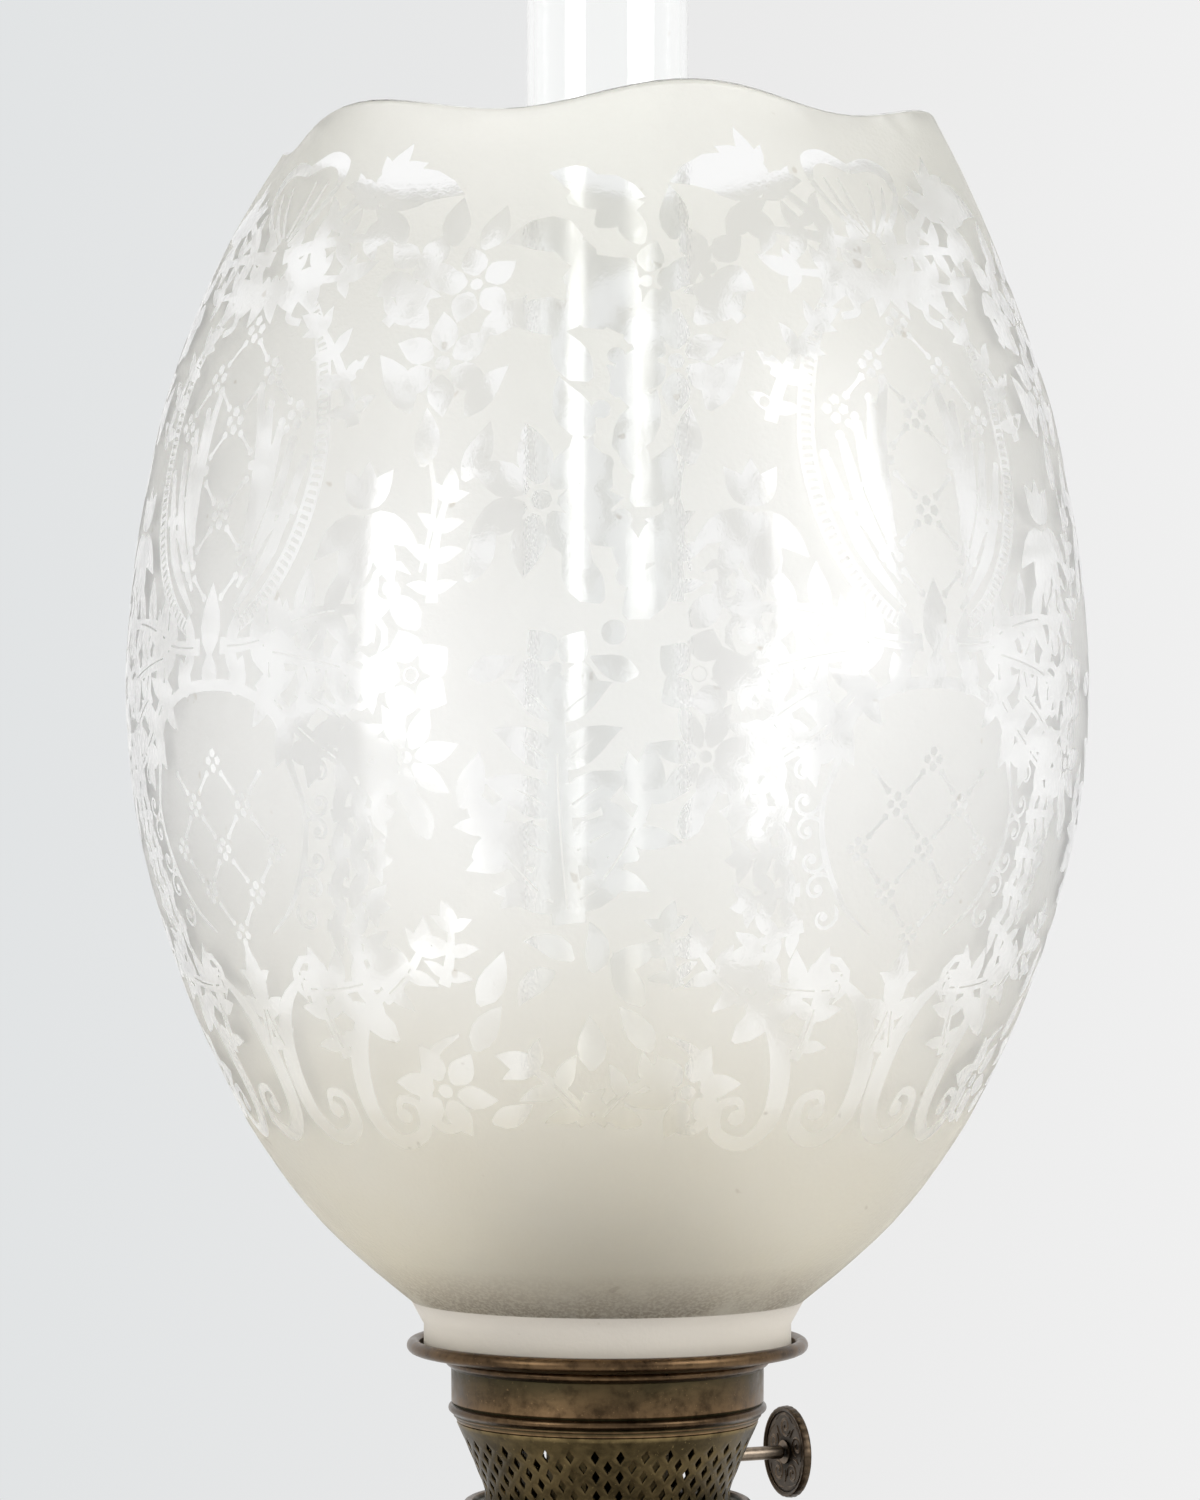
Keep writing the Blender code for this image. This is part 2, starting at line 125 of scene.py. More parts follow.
# %% Light the world
BACKDROP_HALF = 0.16  # the grey changes over this far to each side, as a part of a view's direction
ROOM = [(0.0, 0.58), (0.40, 0.76), (0.60, 0.94), (0.86, 0.96), (0.97, 0.98)]
BACKDROP = [(0.0, (0.745, 0.765, 0.775)), (0.55, (0.82, 0.82, 0.82)), (1.0, (0.88, 0.88, 0.88))]
world = bpy.data.worlds.new("studio")
bpy.context.scene.world = world
tree = node_tree(world)
direction = add_node(tree, "ShaderNodeTexCoord").outputs["Generated"]
axes = add_node(tree, "ShaderNodeSeparateXYZ", {"Vector": direction})
depth = add_node(tree, "ShaderNodeMapRange", {"Value": axes.outputs["Y"], "From Min": -1.0})
room = ramp(tree, depth.outputs["Result"], ROOM)
span = {"Value": axes.outputs["X"], "From Min": -BACKDROP_HALF, "From Max": BACKDROP_HALF}
across = add_node(tree, "ShaderNodeMapRange", span)
backdrop = ramp(tree, across.outputs["Result"], BACKDROP)
seen = add_node(tree, "ShaderNodeLightPath").outputs["Is Camera Ray"]
shown = add_node(tree, "ShaderNodeMix", {"Factor": seen, "A": room, "B": backdrop}, data_type="RGBA")
light = add_node(tree, "ShaderNodeBackground", {"Color": shown.outputs["Result"]})
add_node(tree, "ShaderNodeOutputWorld", {"Surface": light.outputs["Background"]})
print("world:", world.name, "with", len(tree.nodes), "nodes")

# %% [markdown]
# Soft boxes are area lights that all aim at the height of the shade. The floor is a disc of pale paper,
# opaque round the lamp and clear at its edge.

# %% Soft boxes and floor
FLOOR_RADIUS = 1.6
FADE_FROM = 0.5
FADE_TO = 1.5


def soft_box(name, place, size, power):
    lamp = bpy.data.lights.new(name, "AREA")
    lamp.shape = "RECTANGLE"
    lamp.size, lamp.size_y = size
    lamp.energy = power
    box = bpy.data.objects.new(name, lamp)
    box.location = place
    aim = Vector((0, 0, EYE_HEIGHT)) - Vector(place)
    box.rotation_euler = aim.to_track_quat("-Z", "Y").to_euler()
    bpy.context.collection.objects.link(box)


soft_box("soft_box_right", (1.15, -0.84, 0.95), (0.80, 0.90), 10)
soft_box("soft_box_left", (-1.15, -1.15, 0.75), (0.70, 0.90), 7.5)
soft_box("soft_box_top", (0.0, 0.3, 2.3), (1.6, 1.2), 14)

bpy.ops.mesh.primitive_circle_add(vertices=96, radius=FLOOR_RADIUS, fill_type="NGON", location=(0, 0, 0))
floor = bpy.context.object
floor.name = "floor"
paper = bpy.data.materials.new("studio_floor")
tree = node_tree(paper)
place = add_node(tree, "ShaderNodeTexCoord").outputs["Object"]
far = add_node(tree, "ShaderNodeVectorMath", {0: place}, operation="LENGTH").outputs["Value"]
span = {"Value": far, "From Min": FADE_FROM, "From Max": FADE_TO, "To Min": 1, "To Max": 0}
fade = add_node(tree, "ShaderNodeMapRange", span)
fade.interpolation_type = "SMOOTHSTEP"
shader = add_node(
    tree,
    "ShaderNodeBsdfPrincipled",
    {"Base Color": (0.82, 0.82, 0.81, 1), "Roughness": 0.9, "Alpha": fade.outputs["Result"]},
)
add_node(tree, "ShaderNodeOutputMaterial", {"Surface": shader.outputs["BSDF"]})
floor.data.materials.append(paper)

# %% [markdown]
# ## Finishes
#
# Old brass is not one colour. It is brown where the lacquer has gone, greenish in corners that no cloth
# reaches, and bright again on edges that hands rub. One node group, "worn metal", mixes these and is used
# by every metal of the lamp with colours of its own. It reads two values that are stored on each mesh: how
# much a point sticks out, and how deep in a corner it lies.

# %% Helpers for node groups
def new_group(name, inputs, outputs):
    group = bpy.data.node_groups.new(name, "ShaderNodeTree")
    for label, value in inputs.items():
        kind = "NodeSocketColor" if isinstance(value, tuple) else "NodeSocketFloat"
        socket = group.interface.new_socket(label, in_out="INPUT", socket_type=kind)
        socket.default_value = (*value, 1) if isinstance(value, tuple) else value
    for label, kind in outputs.items():
        group.interface.new_socket(label, in_out="OUTPUT", socket_type=f"NodeSocket{kind}")
    return group, add_node(group, "NodeGroupInput").outputs, add_node(group, "NodeGroupOutput")


def noise(tree, vector, scale, detail=3.0, roughness=0.55, distortion=0.0):
    values = {"Vector": vector, "Scale": scale, "Detail": detail}
    values.update({"Roughness": roughness, "Distortion": distortion})
    return add_node(tree, "ShaderNodeTexNoise", values).outputs["Fac"]


def maths(tree, operation, first, second=0.0, third=0.0, clamp=False):
    inputs = {0: first, 1: second, 2: third}
    return add_node(tree, "ShaderNodeMath", inputs, operation=operation, use_clamp=clamp).outputs[0]


def blend(tree, factor, first, second, kind="MIX"):
    node = add_node(tree, "ShaderNodeMix", data_type="RGBA", blend_type=kind)
    for index, value in ((0, factor), (6, first), (7, second)):
        if isinstance(value, bpy.types.NodeSocket):
            tree.links.new(value, node.inputs[index])
        else:
            node.inputs[index].default_value = (*value, 1) if isinstance(value, tuple) else value
    return node.outputs[2]


def stretch(tree, vector, scale):
    return add_node(tree, "ShaderNodeMapping", {"Vector": vector, "Scale": scale}).outputs["Vector"]


# %% [markdown]
# The group itself: large clouds where the brown coat is thinner, a fine mottle that darkens them, flecks of
# bare metal, then the rubbed edges and last the grime in the corners. The mottle is also the relief, and it
# makes the polish uneven.

# %% Worn metal
FINISH = {"Colour": "Color", "Roughness": "Float", "Height": "Float"}
worn_metal, given, result = new_group(
    "worn metal",
    {"Metal": (0.12, 0.085, 0.05), "Rubbed": (0.3, 0.2, 0.11), "Corner": (0.06, 0.06, 0.03), "Polish": 0.34},
    FINISH,
)
CLOUD_SIZE = 55  # noise scales: waves in one metre
MOTTLE_SIZE = 330
GRAIN_SIZE = 1500
place = add_node(worn_metal, "ShaderNodeTexCoord").outputs["Object"]
edge = add_node(worn_metal, "ShaderNodeAttribute", attribute_name="edge").outputs["Fac"]
corner = add_node(worn_metal, "ShaderNodeAttribute", attribute_name="corner").outputs["Fac"]
clouds = noise(worn_metal, stretch(worn_metal, place, (1, 1, 2.2)), CLOUD_SIZE, 4, 0.6, 0.6)
grain = noise(worn_metal, place, GRAIN_SIZE, 2, 0.6)
mottle = noise(worn_metal, place, MOTTLE_SIZE, 4, 0.65)
cloud_mask = ramp(worn_metal, clouds, [(0.40, 0.0), (0.62, 1.0)])
thin_coat = blend(worn_metal, 0.24, given["Metal"], given["Rubbed"])
colour = blend(worn_metal, cloud_mask, given["Metal"], thin_coat)
stain = ramp(worn_metal, mottle, [(0.36, 0.55), (0.52, 1.0), (0.70, 1.25)])
colour = blend(worn_metal, 0.75, colour, stain, "MULTIPLY")
fleck = ramp(worn_metal, grain, [(0.66, 0.0), (0.74, 1.0)])
colour = blend(worn_metal, maths(worn_metal, "MULTIPLY", fleck, 0.55), colour, given["Rubbed"])
rub = maths(worn_metal, "MULTIPLY", edge, ramp(worn_metal, mottle, [(0.35, 0.35), (0.6, 1.0)]), clamp=True)
colour = blend(worn_metal, rub, colour, given["Rubbed"])
grime = maths(worn_metal, "MULTIPLY", corner, ramp(worn_metal, mottle, [(0.3, 0.5), (0.55, 1.0)]), clamp=True)
colour = blend(worn_metal, grime, colour, given["Corner"])
shine = maths(worn_metal, "MULTIPLY_ADD", maths(worn_metal, "SUBTRACT", mottle, 0.5), 0.34, given["Polish"])
shine = maths(worn_metal, "MULTIPLY_ADD", grime, 0.25, shine)
relief = maths(worn_metal, "ADD", maths(worn_metal, "MULTIPLY", grain, 0.35), mottle)
for label, value in {"Colour": colour, "Roughness": shine, "Height": relief}.items():
    worn_metal.links.new(value, result.inputs[label])
print("worn metal:", len(worn_metal.nodes), "nodes")

# %% [markdown]
# Each metal of the lamp is a material of its own: it places the group with its own colours and joins it to
# a Principled shader. The four values are the coat, the rubbed metal, the grime in corners and the
# roughness.

# %% The metals
def use_group(tree, group, values=()):
    node = add_node(tree, "ShaderNodeGroup", node_tree=group)
    for name, value in dict(values).items():
        node.inputs[name].default_value = (*value, 1) if isinstance(value, tuple) else value
    return node.outputs


def bump(tree, height, distance, strength=1.0):
    values = {"Height": height, "Distance": distance, "Strength": strength}
    return add_node(tree, "ShaderNodeBump", values).outputs[0]


def surface(tree, values):
    shader = add_node(tree, "ShaderNodeBsdfPrincipled", values)
    add_node(tree, "ShaderNodeOutputMaterial", {"Surface": shader.outputs["BSDF"]})
    return shader


def metal_finish(name, metal, rubbed, corner, polish, dent=0.00006):
    material = bpy.data.materials.new(name)
    tree = node_tree(material)
    worn = use_group(tree, worn_metal, {"Metal": metal, "Rubbed": rubbed, "Corner": corner, "Polish": polish})
    values = {"Base Color": worn["Colour"], "Roughness": worn["Roughness"], "Metallic": 1.0}
    surface(tree, {**values, "Normal": bump(tree, worn["Height"], dent, 0.6)})
    return material


METALS = {
    "aged_brass": ((0.046, 0.029, 0.017), (0.32, 0.20, 0.10), (0.048, 0.048, 0.022), 0.33),
    "olive_brass": ((0.054, 0.040, 0.019), (0.30, 0.22, 0.10), (0.042, 0.044, 0.016), 0.42),
    "dark_bronze": ((0.040, 0.029, 0.018), (0.20, 0.145, 0.10), (0.034, 0.026, 0.018), 0.40),
    "spindle_steel": ((0.130, 0.098, 0.072), (0.40, 0.33, 0.26), (0.08, 0.06, 0.04), 0.36),
    "ballast_iron": ((0.090, 0.080, 0.074), (0.16, 0.13, 0.11), (0.10, 0.05, 0.03), 0.65),
}
metals = [metal_finish(name, *values) for name, values in METALS.items()]
aged_brass, olive_brass, dark_bronze, spindle_steel, ballast_iron = metals
print("metals:", [metal.name for metal in metals])

# %% [markdown]
# ## Turned pieces
#
# A lathe makes every round piece of such a lamp, and Spin is Blender's lathe: an outline of (radius,
# height) points is carried once round the Z axis. An outline is written in millimetres, with only the
# points that its shape needs; `arc` and `curve_through` add the points between. Where the outline closes on
# itself, the piece has a wall on every side.

# %% Curves for outlines
def arc(radius, height, size, start, end, steps=9):
    """Points on an arc of this size about (radius, height), from one angle to another in degrees."""
    angles = [math.radians(start + (end - start) * step / steps) for step in range(steps + 1)]
    return [(radius + size * math.cos(a), height + size * math.sin(a)) for a in angles]


def curve_through(points, steps=6):
    """Points on a smooth curve through the given ones, each span cut into steps."""
    ends = [points[0], *points, points[-1]]
    found = [tuple(points[0])]
    for before, start, end, after in zip(ends, ends[1:], ends[2:], ends[3:]):
        for step in range(1, steps + 1):
            t = step / steps
            weights = (
                (-t + 2 * t**2 - t**3) / 2,
                (2 - 5 * t**2 + 3 * t**3) / 2,
                (t + 4 * t**2 - 3 * t**3) / 2,
                (t**3 - t**2) / 2,
            )
            four = (before, start, end, after)
            found.append(tuple(sum(w * p[axis] for w, p in zip(weights, four)) for axis in (0, 1)))
    return found


print("a quarter turn takes", len(arc(0, 0, 1, 0, 90)), "points")

# %% [markdown]
# The finishes ask where a piece is worn, so each vertex gets two numbers, found from the directions to its
# neighbours: on a ridge they fall away behind its normal, and in a groove they rise in front of it.

# %% Marks for wear
WEAR_GAIN = 4
WEAR_START = 0.20  # slight curves are not worn at all


def mark_wear(piece):
    """Stores on each vertex how far it sticks out from its neighbours, and how far it lies back."""
    mesh = piece.data
    reach = [[0.0, 0] for _ in mesh.vertices]
    for first, second in (tuple(line.vertices) for line in mesh.edges):
        for one, other in ((first, second), (second, first)):
            away = mesh.vertices[one].co - mesh.vertices[other].co
            if away.length > 1e-7:
                reach[one][0] += away.normalized().dot(mesh.vertices[one].normal)
                reach[one][1] += 1
    out = [total / max(count, 1) for total, count in reach]
    for name, sign in (("edge", 1), ("corner", -1)):
        layer = mesh.attributes.new(name, "FLOAT", "POINT")
        bare = [min(max(sign * value * WEAR_GAIN - WEAR_START, 0), 1) for value in out]
        layer.data.foreach_set("value", bare)


# %% [markdown]
# The lathe itself. `turned` makes the outline a mesh, spins it in edit mode, merges the doubles where the
# turn closes, and sets smooth shading up to an angle, so that true corners stay crisp. `fit` then gives the
# piece its material and body, marks its wear and hides the plain solids that it stands for.

# %% The lathe
MERGE_WITHIN = 2e-6


def deselect():
    bpy.ops.object.select_all(action="DESELECT")


def edit(piece):
    deselect()
    bpy.context.view_layer.objects.active = piece
    piece.select_set(True)
    bpy.ops.object.mode_set(mode="EDIT")
    bpy.ops.mesh.select_all(action="SELECT")


def close_edit(piece, angle=30):
    bpy.ops.mesh.select_all(action="SELECT")
    bpy.ops.mesh.remove_doubles(threshold=MERGE_WITHIN)
    bpy.ops.mesh.normals_make_consistent(inside=False)
    bpy.ops.object.mode_set(mode="OBJECT")
    bpy.ops.object.shade_smooth_by_angle(angle=math.radians(angle))


def outline_mesh(name, points):
    """A mesh of one line through (radius, height) points in millimetres, closed if it keeps off the axis."""
    closed = min(radius for radius, _ in points) > 0
    mesh = bpy.data.meshes.new(name)
    lines = [(index, index + 1) for index in range(len(points) - 1)]
    if closed:
        lines.append((len(points) - 1, 0))
    mesh.from_pydata([(radius * MM, 0, height * MM) for radius, height in points], lines, [])
    piece = bpy.data.objects.new(name, mesh)
    bpy.context.collection.objects.link(piece)
    return piece


def fit(piece, material, body, slot, *nodes):
    """Gives a finished piece its material and its body, marks its wear and hides the plain solids that it
    stands for; the slot is not used.
    """
    piece.data.materials.append(material)
    mark_wear(piece)
    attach(piece, body)
    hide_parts(*nodes)
    print(f"{piece.name}: {len(piece.data.polygons)} faces, rides on {body}")
    return piece


def turned(name, points, material, body, slot, steps=128, angle=30):
    """An outline in millimetres spun round the lamp's axis, standing for the plain solid of the same name."""
    piece = outline_mesh(name + "_turned", points)
    edit(piece)
    bpy.ops.mesh.spin(steps=steps, angle=math.tau, center=(0, 0, 0), axis=(0, 0, 1))
    close_edit(piece, angle)
    return fit(piece, material, body, slot, name)


# %% [markdown]
# ## Foot, stem and font
#
# The foot is spun sheet brass over an iron weight, the stem is three turned pieces on a tie rod, and the
# font is two shells joined at a belt. A real edge is never quite sharp, so the outlines turn each edge with
# a small arc, which catches a line of light.

# %% Foot and stem
foot = [(87.2, 1.6), (88, 2.4), (88, 8)] + arc(85, 10, 3, 10, 100)
foot += curve_through([(80, 13.5), (71, 18), (54, 25), (38, 34), (28, 45), (23, 54)])
foot += arc(22.2, 55.2, 0.8, 0, 90, 4)
foot += [(8, 56), (8, 54)]
foot += curve_through([(20, 51), (26, 43), (36, 32), (52, 23), (70, 16), (83, 9), (85.5, 1.6)])
turned("foot_shell", foot, aged_brass, "base", "aged_brass")

base = 56.3
knop = [(3.5, base), (17.6, base), (18, base + 0.4), (18, base + 1.2), (17.7, base + 1.5)]
knop += arc(16, base + 8, 6, -75, 75, 18) + [(13, 72.5), (13, 73.7), (12.7, 74), (3.5, 74)]
turned("foot_knop", knop, aged_brass, "base", "aged_brass")

base = 74.3
column = [(3.5, base), (14.8, base)] + arc(14.7, base + 1, 0.8, -80, 60, 5)
column += [(14, base + 3), (13.2, base + 4)]
column += curve_through([(10, base + 7), (11, base + 14), (18, base + 34), (16, base + 56), (12, base + 74)])
column += curve_through([(9.5, base + 90), (9.4, base + 94), (10, base + 96)], 3)
column += arc(11.5, base + 99.5, 2, -60, 60) + [(12, 177.7), (11.7, 178), (3.5, 178)]
turned("column", column, aged_brass, "base", "aged_brass")

base = 178.3
cup = [(3.5, base), (10.7, base), (11, base + 0.3), (11.5, base + 3)]
cup += curve_through([(15, base + 6), (24, base + 11), (35, base + 20)])
cup += arc(36.1, base + 22.9, 1, -50, 130, 7)
cup += curve_through([(34.4, base + 22.7), (31, base + 19.5), (25, base + 18.9), (20, 197)], 4) + [(3.5, 197)]
turned("font_cup", cup, aged_brass, "base", "aged_brass")

# %% [markdown]
# The font holds the oil. It was spun as two shells, and a belt covers the seam where they were soldered.

# %% Font
lower = [(0, 200), (16, 200)]
lower += curve_through([(24, 200.8), (42, 207), (60, 218.5), (71.5, 233), (75.6, 247)], 8)
lower += curve_through([(74.4, 247), (70.2, 233.6), (59, 219.6), (41.4, 208.3), (23.8, 202.1)], 8)
lower += [(0, 201.3)]
turned("font_lower", lower, aged_brass, "base", "aged_brass", 160)
upper = curve_through([(75.6, 247.3), (73.5, 261), (65, 275), (49, 286), (34, 292), (24.5, 294.5)], 8)
inside = [(24.5, 293.2), (33.6, 290.7), (48.4, 284.7), (64, 273.9), (72.2, 260.6), (74.4, 247.3)]
upper += curve_through(inside, 8)
turned("font_upper", upper, aged_brass, "base", "aged_brass", 160)
belt = [(76, 242)] + arc(76.6, 243.8, 1.8, -80, 78, 10) + arc(76.6, 247.4, 1.8, -78, 80, 10) + [(76, 250)]
turned("font_belt", belt, aged_brass, "base", "aged_brass", 160)
collar = [(21.3, 293.2), (24, 293.2), (24, 295.2), (28.6, 295.4)] + arc(28.6, 296.2, 0.6, -60, 60, 5)
collar += [(28.2, 297.2), (25.9, 298.6), (25.5, 299.4), (25.5, 307.6)] + arc(24.6, 308.1, 0.9, 0, 90, 4)
collar += [(21.3, 309)]
turned("font_collar", collar, aged_brass, "base", "aged_brass")

# %% [markdown]
# ## Burner
#
# The burner screws into the font. Its flange carries a pierced basket that lets air in to the flame, a
# plain band with a bead at each end, and the ring in which the shade stands. The basket is punched sheet:
# rows of upright lozenges, each row set half a step along from the next.

# %% Flange, tubes and band
flange = [(13.4, 309.3), (28, 309.3)] + arc(29.7, 310.6, 1.3, -80, 120, 12) + [(28.6, 310.9), (13.4, 310.8)]
turned("burner_flange", flange, aged_brass, "burner", "aged_brass")
band = [(31.1, 329.0), (32.3, 329.0)] + arc(32.6, 330.2, 0.4, -90, 20, 4)
band += arc(33.2, 331.7, 0.9, -70, 75, 10) + [(33.15, 332.75), (33.45, 333.2), (33.5, 340.2)]
band += arc(33.8, 341.6, 0.9, -75, 90, 10) + [(32.7, 342.5), (32.7, 331.8)]
turned("gallery_band", band, aged_brass, "burner", "aged_brass", 160)
ring = [(28.8, 342.8), (38.2, 342.8), (39.2, 343.0)] + arc(41.55, 345, 1.45, -125, 150, 16)
ring += [(40.2, 344.5), (39.7, 343.7), (28.8, 343.6)]
turned("shade_ring", ring, aged_brass, "burner", "aged_brass", 192)

# %% [markdown]
# Some turned pieces are cut through afterwards: slots that let the winder's wheels reach the wick, an air
# gap at the front of the tubes, and the gaps between the spring fingers that hold the chimney.

# %% Cut tubes and fingers
BURNER_PIN = Vector((-6.762, 14.501, 317.2))  # where the winder's axis passes nearest the lamp's axis
PIN_TURN = math.radians(25)
PIN_ALONG = Vector((math.cos(PIN_TURN), math.sin(PIN_TURN), 0))


def cut_box(piece, centre, size, turn=0.0):
    """Takes a box, in millimetres and turned about Z, out of a piece."""
    deselect()
    bpy.ops.mesh.primitive_cube_add(size=MM, location=Vector(centre) * MM, rotation=(0, 0, turn), scale=size)
    box = bpy.context.object
    bpy.ops.object.transform_apply(location=True, rotation=True, scale=True)
    slot = piece.modifiers.new("cut", "BOOLEAN")
    slot.operation = "DIFFERENCE"
    slot.solver = "EXACT"
    slot.object = box
    bpy.context.view_layer.objects.active = piece
    bpy.ops.object.modifier_apply(modifier=slot.name)
    bpy.data.objects.remove(box)


tube = [(12.5, 296), (13.1, 296), (13.1, 358.8), (12.95, 359), (12.6, 359), (12.5, 358.8)]
outer_tube = turned("outer_wick_tube", tube, olive_brass, "burner", "aged_brass", 96)
tube = [(0, 300), (10, 300), (10, 358.8), (9.8, 359), (9.5, 359), (9.4, 358.8), (9.4, 301), (0, 301)]
inner_tube = turned("inner_draft_tube", tube, olive_brass, "burner", "aged_brass", 96)
WHEEL_SPACING = 5  # from the pin's middle to each of the two wheels
for side in (-WHEEL_SPACING, WHEEL_SPACING):
    cut_box(outer_tube, BURNER_PIN + PIN_ALONG * side, (3.2, 12, 9.5), PIN_TURN)
for tube in (outer_tube, inner_tube):
    cut_box(tube, (0, -12, 317), (9, 14, 20))

seat = [(18.5, 337.4), (27, 337.4), (27, 332.2), (32.4, 332.2), (32.4, 333), (27.9, 333), (27.9, 338.3)]
seat += curve_through([(27.7, 346), (27.75, 349.5), (28.6, 353)], 5)
seat += curve_through([(27.9, 353.3), (26.95, 349.5), (26.9, 346), (27, 338.3)], 5) + [(18.5, 338.3)]
crown = turned("chimney_gallery", seat, olive_brass, "burner", "aged_brass", 128)
for index in range(4):
    cut_box(crown, (0, 0, 350), (64, 13, 20), math.radians(22.5 + 45 * index))

# %% [markdown]
# The basket starts as a net of lozenges laid on its curved line, one lozenge for each hole. Each is left
# open in its middle, narrow and tall as the punch made it, and Solidify gives the sheet its thickness.
# Where the winder's shaft comes through, the net stays closed and is bored, because the shaft's bush is
# riveted there.

# %% Pierced basket
AROUND = 36
ROWS = 8
HOLE_WIDE = 0.36  # how much of a lozenge its hole takes, across and upwards
HOLE_TALL = 0.72
BUSH_ALONG = 21.6  # where the shaft comes through, along its own line
BUSH_PLATE = 6.2  # no holes this near to it
LOW, HIGH = 311.4, 329.0
waist = curve_through([(25.8, LOW), (25.4, 313.8), (27.1, 318.2), (29.4, 323.8), (31.7, HIGH)], 10)


def waist_radius(height):
    for (r1, z1), (r2, z2) in zip(waist, waist[1:]):
        if height <= z2:
            return r1 + (r2 - r1) * (height - z1) / (z2 - z1)
    return waist[-1][0]


def pierced_basket():
    """The open net of lozenges, before it has a thickness."""
    net = bmesh.new()

    def ring_of(height, shift):
        angles = [math.tau * (index + shift) / AROUND - math.pi / 2 for index in range(AROUND)]
        radius = waist_radius(height) * MM
        return [net.verts.new((radius * math.cos(a), radius * math.sin(a), height * MM)) for a in angles]

    step = (HIGH - 2.0 - (LOW + 0.6)) / (ROWS - 1)
    rings = [ring_of(LOW + 0.6 + step * row, 0.5 * (row % 2)) for row in range(ROWS)]
    odd = (ROWS - 1) % 2  # the top row of corners stands half a step along
    strips = [ring_of(LOW, 0), ring_of(LOW + 0.3, 0)], [ring_of(HIGH - 1.0, odd / 2), ring_of(HIGH, odd / 2)]
    for index in range(AROUND):
        after = (index + 1) % AROUND
        for below, above in (strips[0], (strips[0][1], rings[0]), (rings[-1], strips[1][0]), strips[1]):
            net.faces.new((below[index], below[after], above[after], above[index]))
        net.faces.new((rings[0][index], rings[0][after], rings[1][index]))
        net.faces.new((rings[-1][after], rings[-1][index], rings[-2][after if odd else index]))
    bush = (BURNER_PIN + PIN_ALONG * BUSH_ALONG) * MM
    for row in range(ROWS - 2):
        for index in range(AROUND):
            left = (index + row % 2 - 1) % AROUND
            right = (left + 1) % AROUND
            outer = (rings[row][index], rings[row + 1][right], rings[row + 2][index], rings[row + 1][left])
            centre = sum((corner.co for corner in outer), Vector()) / 4
            if (centre - bush).length < BUSH_PLATE * MM:
                net.faces.new(outer)
                continue
            shares = (HOLE_TALL, HOLE_WIDE, HOLE_TALL, HOLE_WIDE)
            inner = []
            for corner, share in zip(outer, shares):
                inner.append(net.verts.new(centre + (corner.co - centre) * share))
            for one in range(4):
                two = (one + 1) % 4
                net.faces.new((outer[one], outer[two], inner[two], inner[one]))
    bmesh.ops.recalc_face_normals(net, faces=net.faces)
    mesh = bpy.data.meshes.new("basket_pierced")
    net.to_mesh(mesh)
    net.free()
    piece = bpy.data.objects.new("basket_pierced", mesh)
    bpy.context.collection.objects.link(piece)
    return piece


# %% [markdown]
# The pierced skin has no thickness yet. Solidify gives it the sheet's thickness, a box bores it for the
# shaft's bush, and a small bevel takes the sharpness off every edge.

# %% Thicken and bore the basket
SHEET = 0.7
basket = pierced_basket()
edit(basket)
close_edit(basket, 50)
sheet = basket.modifiers.new("sheet", "SOLIDIFY")
sheet.thickness = SHEET * MM
sheet.offset = -1
bpy.ops.object.modifier_apply(modifier=sheet.name)
cut_box(basket, BURNER_PIN + PIN_ALONG * BUSH_ALONG, (16, 7, 7), PIN_TURN)
rim = basket.modifiers.new("rim", "BEVEL")
rim.width = 0.10 * MM
rim.segments = 1
rim.limit_method = "ANGLE"
rim.angle_limit = math.radians(50)
bpy.ops.object.modifier_apply(modifier=rim.name)
bpy.ops.object.shade_smooth_by_angle(angle=math.radians(40))
fit(basket, olive_brass, "burner", "aged_brass", "basket")

# %% [markdown]
# ## Winder
#
# The wick is raised with a small cast disc on a thin shaft. The disc's faces carry a raised scroll pattern
# and its edge is milled for the fingers. The disc is turned like the rest, but about its own axis, which
# lies level and points 25 degrees back from the lamp's right side; so it is made upright first, and then
# laid down and moved.

# %% Shaft and disc
LAY_DOWN = Matrix.Translation(BURNER_PIN * MM) @ PIN_ALONG.to_track_quat("Z", "Y").to_matrix().to_4x4()


def put(piece, matrix):
    """Moves a mesh, so that its object can stay at the origin."""
    piece.data.transform(matrix)
    piece.data.update()


def tapered(points, widths):
    """The outline of a stroke along a line, with a width for each of its points."""
    left, right = [], []
    for index, point in enumerate(points):
        before, after = points[max(index - 1, 0)], points[min(index + 1, len(points) - 1)]
        dx, dy = after[0] - before[0], after[1] - before[1]
        size = math.hypot(dx, dy) or 1.0
        half = widths[index] / 2
        left.append((point[0] - dy / size * half, point[1] + dx / size * half))
        right.append((point[0] + dy / size * half, point[1] - dx / size * half))
    return right + left[::-1]


def spiral(size, turns, start=0.0, steps=20, shrink=0.12):
    """A line that winds in from the given radius to a small eye."""
    line = []
    for step in range(steps + 1):
        t = step / steps
        reach = size * (1 - t) ** 0.9 + size * shrink * t
        angle = math.radians(start) + turns * math.tau * t
        line.append((reach * math.cos(angle), reach * math.sin(angle)))
    return line


# %% [markdown]
# Every third point of the spun edge is drawn in as a groove of the milling, which leaves a ridge between two
# grooves. Each scroll and leaf is a stroke with a raised middle line, like a low roof, in the disc's mesh.

# %% The disc
RIDGES = 32  # round the milled edge, one for every three points of the spin
RIDGE_DEPTH = 0.016  # as a part of the radius
SCROLLS = 5
RELIEF = 0.15


